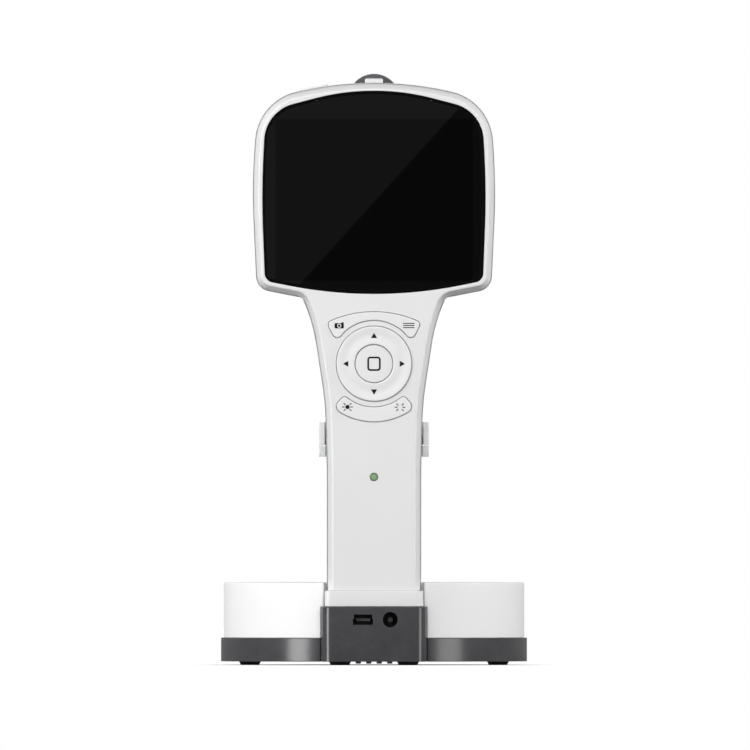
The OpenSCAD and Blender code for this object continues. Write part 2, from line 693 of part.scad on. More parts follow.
cell_z = collar_h + 6;
cell_h = 65;
module battery_pack() color("#3f6fa8") handset() translate([0, cell_y, cell_z])
    cylinder(d = cell_d, h = cell_h);
module battery_holder() color("#1c1c1e") handset() difference() {
    translate([0, 0, cell_z - 1.4]) linear_extrude(cell_h + 2.8) difference() {
        translate([0, (board_y + 1.5 + cell_y) / 2])
            square([cell_d + 2, cell_y - board_y - 1.5], center = true);
        translate([0, cell_y]) circle(d = cell_d - 3);
    }
    translate([0, cell_y, cell_z - seam]) cylinder(d = cell_d + 2 * seam, h = cell_h + 2 * seam);
}

module shell_screws() color("silver") handset() at_bosses() {
    rod(2, cover_depth - 8, cover_depth + 14);
    rod(4, cover_depth + 13.9, cover_depth + 16);
}

// ---- Keys ----

pivot_y = flange_y + flange_t + 0.3;
module nav_rocker() color("#d5d6d7") handset() nav_place() difference() {
    rod(26, pivot_y + 0.4, pivot_y + 1.2);
    rod(19.4, pivot_y, pivot_y + 2);
}
module nav_ring() {
    ri = ok_d / 2 + key_gap;
    ro = nav_d / 2;
    back = -flange_y - flange_t;
    color(white) handset() nav_place() rotate([90, 0, 0]) rotate_extrude($fn = 96)
        polygon([[ri, back], [ro + 0.9, back], [ro + 0.9, -flange_y], [ro, -flange_y],
            [ro, nav_proud - 0.3], [ro - 0.3, nav_proud], [ro - 1.2, nav_proud],
            [ro - 3.6, nav_proud - 0.35], [ri + 2, nav_proud - 0.3], [ri + 0.3, nav_proud - 0.1],
            [ri, nav_proud - 0.35]]);
}
module ok_key() color(white) handset() nav_place() {
    rod(ok_d, 0.3 - key_proud, pivot_y + 0.2);
    rod(ok_d - 0.8, -key_proud, 0.4);
    rod(ok_d + 2.4, pivot_y + 0.1, pivot_y + 0.9);
    rod(3, pivot_y + 0.8, board_y - 1);
}
module curved_key(half, stems) handset() nav_place() {
    slab(0.25 - key_proud, flange_y + key_proud) polygon(both(half));
    slab(-key_proud, 0.4) polygon(both(inset(half, 0.25)));
    slab(flange_y, flange_t) difference() {
        polygon(both(inset(half, -1.1)));
        circle(r = nav_d / 2 + 1.4);
    }
    for (s = stems) translate([s[0], 0, s[1]]) rod(2.6, flange_y + 0.5, board_y - 1.1);
}
module capture_menu_key() color(white) curved_key(capture_half, [[-14, 14.6], [14, 14.6]]);
module light_key() color(white) curved_key(light_half, [[-11.6, -15.4], [11.6, -15.4]]);

power_tilt = 9.9;
power_y = 28;
power_l = 11;
module power_key_place() translate([0, power_y, handset_h - crown_r]) rotate([0, -power_tilt, 0])
    translate([0, 0, crown_r]) children();
module power_key() color(white) handset() power_key_place() {
    translate([0, 0, -wall - 0.9]) linear_extrude(wall + 1.5) polygon(rounded_box(power_l, 5, 2.4));
    translate([0, 0, -wall - 1.5]) linear_extrude(0.8) polygon(rounded_box(power_l + 2, 7, 3.4));
}

// ---- Trigger ----

saddle_in = grip_w / 2 + slide_gap
    + (waist_w - grip_w) / 2 * (trigger_z + trigger_h - grip_z) / (waist_z - grip_z);
saddle_back = grip_depth + slide_gap + trigger_travel;
saddle_t = 3.5;
spring_pocket = 2.2;
module saddle_plan(inner, y, t) difference() {
    polygon(rounded([[-trigger_w / 2, trigger_arm_y, 0.8, 2], [-trigger_w / 2, y + t, grip_back_r, 6],
        [trigger_w / 2, y + t, grip_back_r, 6], [trigger_w / 2, trigger_arm_y, 0.8, 2]]));
    polygon(rounded([[-inner, y - grip_depth, 0, 0], [-inner, y, grip_back_r, 6],
        [inner, y, grip_back_r, 6], [inner, y - grip_depth, 0, 0]]));
}
module finger_rest() color("#d5d6d7") handset() translate([0, 0, trigger_z - rest_h])
    linear_extrude(rest_h - slide_gap)
        saddle_plan(saddle_in - slide_gap + seam, grip_depth + seam, saddle_t);
module trigger() color(white) handset() {
    difference() {
        translate([0, 0, trigger_z]) linear_extrude(trigger_h)
            saddle_plan(saddle_in, saddle_back, saddle_t);
        translate([0, 0, trigger_z + trigger_h / 2])
            rod(8.2, saddle_back - 1, saddle_back + spring_pocket);
    }
    translate([0, 0, trigger_z + trigger_h / 2])
        rod(plunger_d, plunger_y, saddle_back + spring_pocket + 0.1);
}
plunger_d = 4.4;
plunger_y = grip_depth - 6.5;
spring_d = 6.4;
spring_wire = 0.7;
module trigger_spring() {
    y0 = grip_depth + 0.1 + spring_wire / 2;
    y1 = saddle_back + spring_pocket - 0.1 - spring_wire / 2;
    turns = 4;
    steps = 14;
    sides = 6;
    r = spring_d / 2;
    n = turns * steps;
    function ring(i) = let (a = 360 * i / steps, y = y0 + (y1 - y0) * i / n)
        [for (k = [0:sides - 1]) let (b = 360 * k / sides, q = r + spring_wire / 2 * cos(b))
            [q * cos(a), y + spring_wire / 2 * sin(b), q * sin(a)]];
    color("silver") handset() translate([0, 0, trigger_z + trigger_h / 2])
        polyhedron([for (i = [0:n]) each ring(i)], concat(
        [for (i = [0:n - 1], k = [0:sides - 1])
            let (a = i * sides + k, b = i * sides + (k + 1) % sides, c = b + sides, d = a + sides)
            each [[a, d, c], [a, c, b]]],
        [[for (k = [0:sides - 1]) k], [for (k = [sides - 1:-1:0]) n * sides + k]]));
}
module trigger_switch() color("#1c1c1e") handset() {
    block([-5, cell_y + cell_d / 2 + 0.3, trigger_z - 3],
        [5, cell_y + cell_d / 2 + 1.1, trigger_z + trigger_h + 3]);
    block([-3, cell_y + cell_d / 2 + 1.1, trigger_z + trigger_h / 2 - 3],
        [3, plunger_y - trigger_travel - 0.2, trigger_z + trigger_h / 2 + 3]);
}

// ---- Measuring head ----

barrel_d = 20;
bezel_y = nose_end - 3.4;
module nose_bezel() color("#2a2a2c") handset() difference() {
    union() {
        slab(bezel_y, 2.8) polygon(both(inset(nose_half, wall + seam)));
        translate([0, 0, window_z]) rod(window_d + 5, bezel_y + 2, nose_end + 1.2);
    }
    translate([0, 0, window_z]) {
        rod(window_d + 2 * seam, bezel_y + 1, nose_end + 2);
        rod(window_d - 2, bezel_y - 1, nose_end + 2);
    }
}
module measuring_window() color([0.35, 0.2, 0.3, 0.8]) handset() translate([0, 0, window_z])
    rod(window_d, bezel_y + 1.1, bezel_y + 2.9);
module ring_light_board() color("#2c6e49") handset() translate([0, 0, window_z]) {
    difference() {
        rod(38, bezel_y - 2.4, bezel_y - 1.2);
        rod(barrel_d + 0.6, bezel_y - 3, bezel_y);
    }
    for (k = [0:7]) rotate([0, 45 * k, 0]) translate([12.4, 0, 0]) rod(2, bezel_y - 1.3, bezel_y + 0.4);
}
lens_y = bezel_y - 16;
module lens_barrel() color("#1c1c1e") handset() translate([0, 0, axis_z]) difference() {
    rod(barrel_d, lens_y, bezel_y - 0.6);
    rod(barrel_d - 3, lens_y + 1.5, bezel_y);
    rod(barrel_d - 5, lens_y - 1, bezel_y);
}
lens_r = (barrel_d - 3) / 2 - seam;
lens_bulge = 26.8;
function lens_face(x) = sqrt(lens_bulge * lens_bulge - x * x) - lens_bulge;
module objective_lens() color([0.6, 0.75, 0.85, 0.7]) handset()
    translate([0, lens_y + 5, axis_z]) rotate([-90, 0, 0]) rotate_extrude() polygon(concat(
        [for (k = [0:6]) let (x = lens_r * k / 6) [x, 3 + lens_face(x)]],
        [for (k = [6:-1:0]) let (x = lens_r * k / 6) [x, -3 - lens_face(x)]]));

rod_z = axis_z - 14;
screw_z = axis_z - 18.5;
screw_dia = 4;
front_web_y = lens_y + 2;
web_t = 3;
module webs_plan(w) translate([0, (bench_z + axis_z + 10) / 2])
    polygon(rounded_box(w, axis_z + 10 - bench_z, 5));
module optical_bench() color("#9aa0a6") handset() difference() {
    union() {
        block([-24, screw_y0 - 14, bench_z - 3], [24, front_web_y + web_t + 4, bench_z]);
        slab(screw_y0, web_t) webs_plan(46);
        slab(front_web_y, web_t) webs_plan(44);
        // posts down to the shell
        both_sides() {
            translate([12, front_web_y - 6, nose_low + wall + 0.5])
                cylinder(d = 6, h = bench_z - nose_low - wall - 1);
            translate([18, screw_y0 - 6, neck_z + wall + 0.3])
                cylinder(d = 6, h = bench_z - neck_z - wall - 1);
        }
    }
    translate([0, 0, axis_z]) rod(barrel_d + 2 * shaft_gap, front_web_y - 1, front_web_y + web_t + 1);
    translate([0, 0, axis_z]) rod(12, screw_y0 - 1, screw_y0 + web_t + 1);
    for (x = [-rod_x, rod_x]) translate([x, 0, rod_z])
        rod(rod_d + 2 * shaft_gap, screw_y0 - 1, front_web_y + web_t + 1);
    translate([0, 0, screw_z]) rod(screw_dia + 2 * shaft_gap, screw_y0 - 1, front_web_y + web_t + 1);
}
module guide_rods() color("silver") handset() for (x = [-rod_x, rod_x])
    translate([x, 0, rod_z]) rod(rod_d, screw_y0, front_web_y + web_t);
module lead_screw() color("silver") handset() translate([0, 0, screw_z]) {
    rod(screw_dia, screw_y0 - 1.4, front_web_y + web_t);
    rod(1.6, screw_y0 - 2.6, screw_y0 - 1);
}
motor_d = 12;
module stepper_motor() color("#5b5f66") handset() translate([0, 0, screw_z]) difference() {
    rod(motor_d, screw_y0 - 14, screw_y0 - 1.6);
    rod(1.6 + 2 * shaft_gap, screw_y0 - 4, screw_y0);
}
carriage_y = screw_y0 + 18;
carriage_t = 8;
module focus_carriage() color("#c9ccd0") handset() difference() {
    slab(carriage_y, carriage_t) translate([0, axis_z - 7])
        polygon(rounded_box(2 * rod_x + 9, 36, 5));
    translate([0, 0, axis_z]) rod(15, carriage_y - 1, carriage_y + carriage_t + 1);
    for (x = [-rod_x, rod_x]) translate([x, 0, rod_z])
        rod(rod_d + 2 * shaft_gap, carriage_y - 1, carriage_y + carriage_t + 1);
    translate([0, 0, screw_z])
        rod(screw_dia + 2 * shaft_gap, carriage_y - 1, carriage_y + carriage_t + 1);
}
module camera_module() color("#1c1c1e") handset() translate([0, screw_y0, axis_z]) {
    rod(11.6, -3, 6);
    block([-9, -5.2, -9], [9, -3, 9]);
}
splitter_y = lens_y - 16;
module beam_splitter() color([0.6, 0.8, 0.9, 0.6]) handset() {
    block([-7, splitter_y, axis_z - 7], [7, splitter_y + 14, axis_z + 7]);
}
module infrared_source() color("#b8bcc0") handset() {
    block([7.2, splitter_y - 1, bench_z], [14.6, splitter_y + 15, axis_z + 9]);
    block([-7, splitter_y + 2, bench_z], [7.2, splitter_y + 12, axis_z - 13.6 - 8.9]);
}

// ---- Forehead rest ----

tongue = 1;
rail_floor = 1.4;
rail_z = arm_z - slide_gap - rail_floor;
rail_w = arm_w + 2 * (tongue + slide_gap + 1.3);
rail_top = arm_z + tongue + slide_gap + 0.8;
module forehead_rail() color(white) handset() slab(rail_y0, rail_y1 - rail_y0) difference() {
    translate([-rail_w / 2, rail_z]) square([rail_w, rail_top - rail_z]);
    translate([-arm_w / 2 - slide_gap, arm_z - slide_gap]) square([arm_w + 2 * slide_gap, arm_h]);
    translate([-arm_w / 2 - tongue - slide_gap, arm_z - slide_gap])
        square([arm_w + 2 * (tongue + slide_gap), tongue + 2 * slide_gap]);
}
pad_z = handset_h + pad_rise - pad_d / 2;
pad_round = 3;
pad_seat = 2;
module forehead_arm() color(white) handset() {
    slab(arm_y0, arm_y1 - arm_y0 - 1) polygon(rounded([[-arm_w / 2, arm_top, 0.8, 3],
        [arm_w / 2, arm_top, 0.8, 3], [arm_w / 2, arm_z, 0, 0], [-arm_w / 2, arm_z, 0, 0]]));
    slab(arm_y0, rail_y1 - arm_y0 - 2) translate([-arm_w / 2 - tongue, arm_z])
        square([arm_w + 2 * tongue, tongue]);
    slab(arm_y1 - 2, 2) translate([-arm_w / 2, pad_z]) square([arm_w, arm_z - pad_z + 0.1]);
}
module forehead_pad() color("#58585a") handset() translate([0, 0, pad_z]) rotate([-90, 0, 0])
    rotate_extrude() polygon(concat([[0, arm_y1 + seam], [pad_d / 2 - pad_round / 2, arm_y1 + seam],
        [pad_d / 2 - pad_round / 2, arm_y1 + pad_seat], [pad_d / 2, arm_y1 + pad_seat]],
        [for (a = [0:15:90]) [pad_d / 2 - pad_round + pad_round * cos(a),
            arm_y1 + pad_t - pad_round + pad_round * sin(a)]], [[0, arm_y1 + pad_t]]));

dock_base_tray();
dock_feet();
dock_top_cover();
dock_tower();
ballast_plate();
dock_board();
data_socket();
power_socket();
contact_carrier();
contact_pins();
dock_screws();
front_cover();
head_rear_shell();
grip_rear_shell();
foot_collar();
foot_contacts();
finger_rest();
display_gasket();
display_glass();
lcd_panel();
lcd_bracket();
main_board();
key_board();
status_lamp();
battery_pack();
battery_holder();
shell_screws();
nav_rocker();
nav_ring();
ok_key();
capture_menu_key();
light_key();
power_key();
trigger();
trigger_spring();
trigger_switch();
nose_bezel();
measuring_window();
ring_light_board();
optical_bench();
objective_lens();
lens_barrel();
beam_splitter();
camera_module();
infrared_source();
guide_rods();
focus_carriage();
lead_screw();
stepper_motor();
forehead_rail();
forehead_arm();
forehead_pad();
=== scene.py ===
import math
import bmesh
import bpy
import numpy as np
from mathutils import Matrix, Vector
from mathutils.geometry import delaunay_2d_cdt


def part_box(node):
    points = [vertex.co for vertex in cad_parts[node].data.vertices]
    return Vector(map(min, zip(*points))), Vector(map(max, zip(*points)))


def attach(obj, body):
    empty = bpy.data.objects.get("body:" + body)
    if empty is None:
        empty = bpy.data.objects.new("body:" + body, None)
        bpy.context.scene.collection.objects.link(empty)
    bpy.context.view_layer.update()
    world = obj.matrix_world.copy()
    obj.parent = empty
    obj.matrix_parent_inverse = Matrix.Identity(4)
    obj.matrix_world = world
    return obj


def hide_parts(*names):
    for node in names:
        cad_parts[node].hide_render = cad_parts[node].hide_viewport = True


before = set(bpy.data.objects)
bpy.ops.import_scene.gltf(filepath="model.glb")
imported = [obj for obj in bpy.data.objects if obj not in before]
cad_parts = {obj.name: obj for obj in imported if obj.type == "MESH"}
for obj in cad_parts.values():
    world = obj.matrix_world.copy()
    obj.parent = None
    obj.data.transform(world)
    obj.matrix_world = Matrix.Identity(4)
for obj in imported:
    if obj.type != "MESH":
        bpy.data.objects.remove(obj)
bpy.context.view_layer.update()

scene = bpy.context.scene
mm = 0.001
alongX, alongY, alongZ = 0, 1, 2  # axis along which flat outlines are set
sharpAngle = math.radians(32)
ledge, fineLedge = 0.1, 0.05  # flat rings left inside rounded edges, in millimetres


# Small helpers

def hexColour(code):  # sRGB hex to linear RGBA
    parts = [int(code[i:i + 2], 16) / 255 for i in (1, 3, 5)]
    return [c / 12.92 if c <= 0.04045 else ((c + 0.055) / 1.055) ** 2.4 for c in parts] + [1.0]


def addNode(tree, kind, settings=(), links=()):  # one node, its values and what feeds it
    node = tree.nodes.new("ShaderNode" + kind)
    for key, value in dict(settings).items():
        if isinstance(key, int) or key in node.inputs:
            node.inputs[key].default_value = value
        else:
            setattr(node, key, value)
    for key, source in dict(links).items():
        tree.links.new(source, node.inputs[key])
    return node


def addObject(name, data):
    made = bpy.data.objects.new(name, data)
    scene.collection.objects.link(made)
    return made


def nodeBox(node):  # lowest and highest corner of a CAD node, in millimetres
    low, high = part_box(node)
    return np.array(low) / mm, np.array(high) / mm


def unit(v):
    return v / np.linalg.norm(v, axis=-1, keepdims=True)


# Arc of a rounded corner (x, y, radius, chords): it touches both sides, and its points are
# evenly spaced in angle
def cornerArc(before, corner, after):
    place = np.array(corner[:2], float)
    if len(corner) < 3 or corner[2] == 0:
        return place[None, :]
    radius, count = corner[2:]
    u, v = unit(np.array(before[:2]) - place), unit(np.array(after[:2]) - place)
    half = math.pi / 2 - math.acos(float(u @ v)) / 2
    middle = place + unit(u + v) * radius / math.cos(half)
    start = place + u * radius * math.tan(half) - middle
    way = 1 if u[0] * v[1] - u[1] * v[0] < 0 else -1
    angle = way * 2 * half * np.linspace(0, 1, count + 1)
    return middle + np.stack([start[0] * np.cos(angle) - start[1] * np.sin(angle),
                              start[0] * np.sin(angle) + start[1] * np.cos(angle)], axis=1)


def roundedLoop(corners):  # closed outline, every corner rounded
    n = len(corners)
    return np.concatenate([cornerArc(corners[i - 1], corners[i], corners[(i + 1) % n])
                           for i in range(n)])


def openPath(corners):  # the same for an open line
    inner = [cornerArc(*corners[i - 1:i + 2]) for i in range(1, len(corners) - 1)]
    return np.concatenate([[corners[0][:2]]] + inner + [[corners[-1][:2]]])


def boxLoop(w, h, r, middle=(0, 0), count=10):  # rounded rectangle, clockwise
    return roundedLoop([(middle[0] + s * w / 2, middle[1] + t * h / 2, r, count)
                        for s, t in ((-1, 1), (1, 1), (1, -1), (-1, -1))])


def circleLoop(radius, middle, steps=96):  # clockwise, in two coordinates
    angle = -np.arange(steps) * 2 * math.pi / steps
    return middle + radius * np.stack([np.cos(angle), np.sin(angle)], axis=1)


def withMirror(half):  # outline from its right half, which starts and ends at X = 0
    half[:, 0] = np.maximum(half[:, 0], 0)
    back = half[::-1]
    return np.concatenate([half, back[back[:, 0] > 0.001] * [-1, 1]])


# Outline that is its own mirror image in X = 0, given by the corners of its right half
def mirroredLoop(corners):
    flip = [(-c[0],) + tuple(c[1:]) for c in corners]
    row = [flip[1]] + list(corners) + [flip[-2]]
    half = np.concatenate([cornerArc(*row[i:i + 3]) for i in range(len(corners))])
    return withMirror(half[half[:, 0] > -0.001])


# Parallel curve: each point moves by d along the bisector of its two sides, inwards for a
# clockwise loop
def insetLoop(loop, d):
    side = unit(np.roll(loop, -1, axis=0) - loop)
    side = np.stack([side[:, 1], -side[:, 0]], axis=1)
    middle = unit(side + np.roll(side, 1, axis=0))
    return loop + middle * (d / np.sum(middle * side, axis=1))[:, None]


def stacked(loops, places, axis):  # flat loops, each set at its own place along the axis
    return np.stack([np.insert(loop, axis, t, axis=1) for loop, t in zip(loops, places)])


# Surface through a stack of equal loops: one parameter runs round the loop, the other
# through the stack. Faces whose mask is False are left open.
def skinLoops(stack, closed=False, mask=None):
    rows, count = stack.shape[:2]
    j, i = np.meshgrid(np.arange(rows if closed else rows - 1), np.arange(count), indexing="ij")
    a, b = j * count + i, j * count + (i + 1) % count
    up = (j + 1) % rows * count
    quads = np.stack([a, b, up + (i + 1) % count, up + i], axis=-1)
    if mask is not None:
        quads = quads[mask]
    return stack.reshape(-1, 3), quads.reshape(-1, 4).tolist()


# Flat patch between an outer loop and holes, set at one place along the axis. A triangle
# belongs to it where a level line from its middle crosses the loops an odd number of times.
def fillLoops(loops, axis, place):
    a = np.concatenate(loops)
    b = np.concatenate([np.roll(loop, -1, axis=0) for loop in loops])
    edges, first = [], 0
    for loop in loops:
        k = np.arange(len(loop))
        edges += (first + np.stack([k, np.roll(k, -1)], axis=1)).tolist()
        first += len(loop)
    made = delaunay_2d_cdt([Vector(p) for p in a.tolist()], edges, [], 0, 1e-7)
    points, faces = np.array([tuple(p) for p in made[0]]), np.array(made[2])
    x, y = points[faces].mean(axis=1).T[:, :, None]
    rise = b[:, 1] - a[:, 1]
    rise = np.where(rise == 0, 1e-12, rise)
    crosses = (a[:, 1] > y) != (b[:, 1] > y)
    meets = a[:, 0] + (y - a[:, 1]) * (b[:, 0] - a[:, 0]) / rise
    inside = (crosses & (x < meets)).sum(axis=1) % 2 == 1
    return np.insert(points, axis, place, axis=1), faces[inside].tolist()


# Turned surface: a profile of (radius, distance along the axis) carried round the axis
def turn(profile, centre, steps=96, axis=alongY):
    profile = np.asarray(profile, float)
    angle = np.arange(steps) * 2 * math.pi / steps
    r, t = profile[:, 0:1], np.repeat(profile[:, 1:2], steps, axis=1)
    u, v = r * np.cos(angle), r * np.sin(angle)
    return skinLoops(np.stack((u, t, v) if axis == alongY else (u, v, t), axis=-1) + np.array(centre))


# Rings over an outline: it is moved in by the profile's first number at each of its second
# numbers
def ringStack(loop, profile, axis, base=0):
    return stacked([insetLoop(loop, d) for d, _ in profile], [base + t for _, t in profile], axis)


def prism(loop, profile, axis, base=0):  # the same rings, capped at both ends
    caps = [fillLoops([insetLoop(loop, d)], axis, base + t) for d, t in (profile[0], profile[-1])]
    return [skinLoops(ringStack(loop, profile, axis, base))] + caps


def plug(radius, start, end, centre):  # plain closed cylinder that points to the rear
    return turn([(0, start), (radius, start), (radius, end), (0, end)], centre, 32)


def merged(parts):  # several surfaces as one list of points and faces
    points, faces, first = [], [], 0
    for verts, quads in parts:
        points.append(np.asarray(verts, float))
        faces += [[first + k for k in f] for f in quads]
        first += len(verts)
    return np.concatenate(points), faces


def closedMesh(name, parts):  # joins surfaces in metres, merges shared rims, turns faces outwards
    points, faces = merged(parts)
    mesh = bpy.data.meshes.new(name)
    mesh.from_pydata((points * mm).tolist(), [], faces)
    work = bmesh.new()
    work.from_mesh(mesh)
    bmesh.ops.remove_doubles(work, verts=work.verts, dist=2e-6)
    bmesh.ops.recalc_face_normals(work, faces=work.faces)
    work.to_mesh(mesh)
    openEdges = sum(not e.is_manifold for e in work.edges)
    work.free()
    if openEdges:
        print(f"  {name}: {openEdges} open edges")
    return mesh


# One finished piece: rides on its body and stands for its CAD nodes
def makePiece(name, parts, look, body, nodes=()):
    mesh = closedMesh(name, parts)
    mesh.shade_smooth()
    mesh.set_sharp_from_angle(angle=sharpAngle)
    mesh.materials.append(look)
    piece = addObject(name, mesh)
    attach(piece, body)
    if nodes:
        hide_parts(*nodes)
    return piece


def cutOut(piece, cutters):  # takes closed cutters out of a piece, then drops them
    for cutterPart in cutters:
        mesh = closedMesh("cutter", [cutterPart])
        cutter = addObject("cutter", mesh)
        cut = piece.modifiers.new("cut", "BOOLEAN")
        cut.operation, cut.solver, cut.object = "DIFFERENCE", "EXACT", cutter
        view = bpy.context.evaluated_depsgraph_get()
        done = bpy.data.meshes.new_from_object(piece.evaluated_get(view))
        piece.modifiers.remove(cut)
        old, piece.data = piece.data, done
        done.name = piece.name
        bpy.data.meshes.remove(old)
        bpy.data.objects.remove(cutter)
        bpy.data.meshes.remove(mesh)
    piece.data.set_sharp_from_angle(angle=sharpAngle)


print("helpers ready")


# Finishes

def startFinish(name):
    finish = bpy.data.materials.new(name)
    finish.use_nodes = True
    finish.node_tree.nodes.clear()
    return finish, finish.node_tree


# A moulded or painted surface: two close colours drift over it, a fine grain lifts it, and
# its gloss varies a little. Sizes are in millimetres.
def mouldedFinish(name, low, high, drift, grain, fleck, rough, relief, vary=0.05, ior=1.53,
                  specular=0.5):
    finish, tree = startFinish(name)
    place = addNode(tree, "TexCoord").outputs["Object"]
    cloud = addNode(tree, "TexNoise", {"Scale": 1 / (drift * mm), "Detail": 2.0}, {"Vector": place})
    grit = addNode(tree, "TexNoise", {"Scale": 1 / (grain * mm), "Detail": 3.0, "Roughness": 0.6},
                   {"Vector": place}).outputs["Fac"]
    spots = addNode(tree, "Math", {"operation": "MULTIPLY_ADD", 1: fleck, 2: -fleck / 2}, {0: grit})
    share = addNode(tree, "Math", {"operation": "ADD", "use_clamp": True},
                    {0: cloud.outputs["Fac"], 1: spots.outputs[0]})
    colour = addNode(tree, "Mix", {"data_type": "RGBA", 6: hexColour(low), 7: hexColour(high)},
                     {0: share.outputs[0]})
    gloss = addNode(tree, "MapRange", {"To Min": rough - vary, "To Max": rough + vary}, {"Value": grit})
    bump = addNode(tree, "Bump", {"Strength": relief, "Distance": 0.02 * mm}, {"Height": grit})
    shader = addNode(tree, "BsdfPrincipled", {"IOR": ior, "Specular IOR Level": specular},
                     {"Base Color": colour.outputs[2], "Roughness": gloss.outputs[0],
                      "Normal": bump.outputs[0]})
    addNode(tree, "OutputMaterial", (), {"Surface": shader.outputs[0]})
    return finish


# White ABS, moulded in a finely spark-eroded tool: an even satin with soft edge highlights
whiteAbs = mouldedFinish("satin_white_abs", "#e6e6e6", "#ebebeb", drift=22, grain=0.35, fleck=0.25,
                         rough=0.32, vary=0.03, relief=0.06, specular=0.45)
# The dock's cover: the same white ABS, painted lighter to stand in for the extra light on its wings
whiteAbsPaintedLighter = mouldedFinish("satin_white_abs_painted_lighter", "#f0f0f0", "#f5f5f5", drift=22, grain=0.35,
                          fleck=0.25, rough=0.45, vary=0.04, relief=0.10, specular=0.25)
# Key caps: a touch finer and paler than the cover, so that they stand out softly
keyWhite = mouldedFinish("satin_white_key_cap", "#e7e7e7", "#ececec", drift=12, grain=0.3,
                         fleck=0.2, rough=0.36, vary=0.03, relief=0.08, specular=0.35)
# The finger rest: the same white ABS painted a shade darker, as painted shade beside the grip; duller than
# the white beside it
whiteAbsPaintedShade = mouldedFinish("satin_white_abs_painted_shade", "#dadbdb", "#e0e1e1", drift=14, grain=0.35,
                        fleck=0.25, rough=0.45, vary=0.04, relief=0.12, specular=0.35)
# Graphite ABS with a fine pearl pigment: dark satin that turns silvery where light grazes it
graphite = mouldedFinish("pearl_graphite_abs", "#37373a", "#4a4a4c", drift=9, grain=0.45, fleck=1.2,
                         rough=0.2, relief=0.16, specular=0.8)
# Black moulding of sockets and carriers: plain and fairly dull
blackAbs = mouldedFinish("black_moulded_nylon", "#1b1b1c", "#242425", drift=5, grain=0.4, fleck=0.6,
                         rough=0.55, vary=0.06, relief=0.3)
# Dark plated sockets: flat grey, hardly brighter than the tower round them
socketGrey = mouldedFinish("dark_plated_socket", "#444446", "#4e4e50", drift=3, grain=0.3, fleck=0.4,
                           rough=0.6, relief=0.1, ior=1.5, specular=0.3)
# Soft rubber of the feet and gasket: dull, finely grained black
feetRubber = mouldedFinish("matt_black_rubber", "#161617", "#212122", drift=4, grain=0.5, fleck=0.7,
                           rough=0.8, vary=0.06, relief=0.5, ior=1.5, specular=0.3)
gasketRubber = mouldedFinish("black_gasket_rubber", "#050505", "#090909", drift=6, grain=0.5,
                             fleck=0.4, rough=0.7, relief=0.2, ior=1.5, specular=0.15)
# Grey silicone of the forehead pad: matt, faintly dusty
padSilicone = mouldedFinish("grey_silicone_rubber", "#57575a", "#636366", drift=5, grain=0.4,
                            fleck=0.5, rough=0.62, relief=0.3, ior=1.42, specular=0.4)
# Pad-printed ink: an even black with a slight sheen
printInk = mouldedFinish("black_printing_ink", "#101011", "#1a1a1b", drift=2, grain=0.2, fleck=0.4,
                         rough=0.5, relief=0.15, ior=1.5, specular=0.3)
# Solder mask of the boards and shrink sleeve of the battery cell: glossy films
boardGreen = mouldedFinish("green_solder_mask", "#1f5a3a", "#2f7a4e", drift=4, grain=0.6, fleck=0.5,
                           rough=0.35, relief=0.25, ior=1.52)
cellSleeve = mouldedFinish("blue_shrink_sleeve", "#38659c", "#4676ae", drift=12, grain=0.5, fleck=0.3,
                           rough=0.3, vary=0.04, relief=0.1, ior=1.54)


# A machined, pressed or plated metal: fine marks, drawn out along one axis by the stretch
def metalFinish(name, low, high, mark, rough, stretch=(1, 1, 1)):
    finish, tree = startFinish(name)
    place = addNode(tree, "TexCoord").outputs["Object"]
    drawn = addNode(tree, "Mapping", {"Scale": stretch}, {"Vector": place})
    marks = addNode(tree, "TexNoise", {"Scale": 1 / (mark * mm), "Detail": 3.0},
                    {"Vector": drawn.outputs[0]}).outputs["Fac"]
    colour = addNode(tree, "Mix", {"data_type": "RGBA", 6: hexColour(low), 7: hexColour(high)},
                     {0: marks})
    gloss = addNode(tree, "MapRange", {"To Min": rough - 0.06, "To Max": rough + 0.06}, {"Value": marks})
    bump = addNode(tree, "Bump", {"Strength": 0.15, "Distance": 0.01 * mm}, {"Height": marks})
    shader = addNode(tree, "BsdfPrincipled", {"Metallic": 1.0},
                     {"Base Color": colour.outputs[2], "Roughness": gloss.outputs[0],
                      "Normal": bump.outputs[0]})
    addNode(tree, "OutputMaterial", (), {"Surface": shader.outputs[0]})
    return finish


# Screws, spring and weight: a cool, softly bright grey
zincSteel = metalFinish("zinc_plated_steel", "#9a9da0", "#b9bcbf", 0.8, 0.38)
# Rods and screw: bright, with fine marks along their length
groundSteel = metalFinish("ground_steel_rod", "#b4b7ba", "#d0d3d5", 0.3, 0.2, (1, 0.1, 1))
# Contacts: a warm yellow with a clean shine
goldPlate = metalFinish("gold_plated_brass", "#c89b3a", "#e0b95c", 0.4, 0.25)
# Machined optics carriers: an even, dull silver with marks across
anodised = metalFinish("anodised_aluminium", "#8e9196", "#a5a8ad", 0.35, 0.42, (0.1, 1, 1))


# Clear optics: low roughness, a faint tint, light passes through
def opticFinish(name, tint, ior, rough):
    finish, tree = startFinish(name)
    place = addNode(tree, "TexCoord").outputs["Object"]
    dust = addNode(tree, "TexNoise", {"Scale": 1 / (1.5 * mm)}, {"Vector": place})
    gloss = addNode(tree, "MapRange", {"To Min": rough, "To Max": rough + 0.03},
                    {"Value": dust.outputs["Fac"]})
    shader = addNode(tree, "BsdfPrincipled",
                     {"Base Color": hexColour(tint), "IOR": ior, "Transmission Weight": 0.95},
                     {"Roughness": gloss.outputs[0]})
    addNode(tree, "OutputMaterial", (), {"Surface": shader.outputs[0]})
    return finish


lensGlass = opticFinish("coated_lens_glass", "#dfe9ef", 1.52, 0.01)  # clear, faintly blue
windowGlass = opticFinish("infrared_window_glass", "#6b3a44", 1.5, 0.02)  # dark wine red


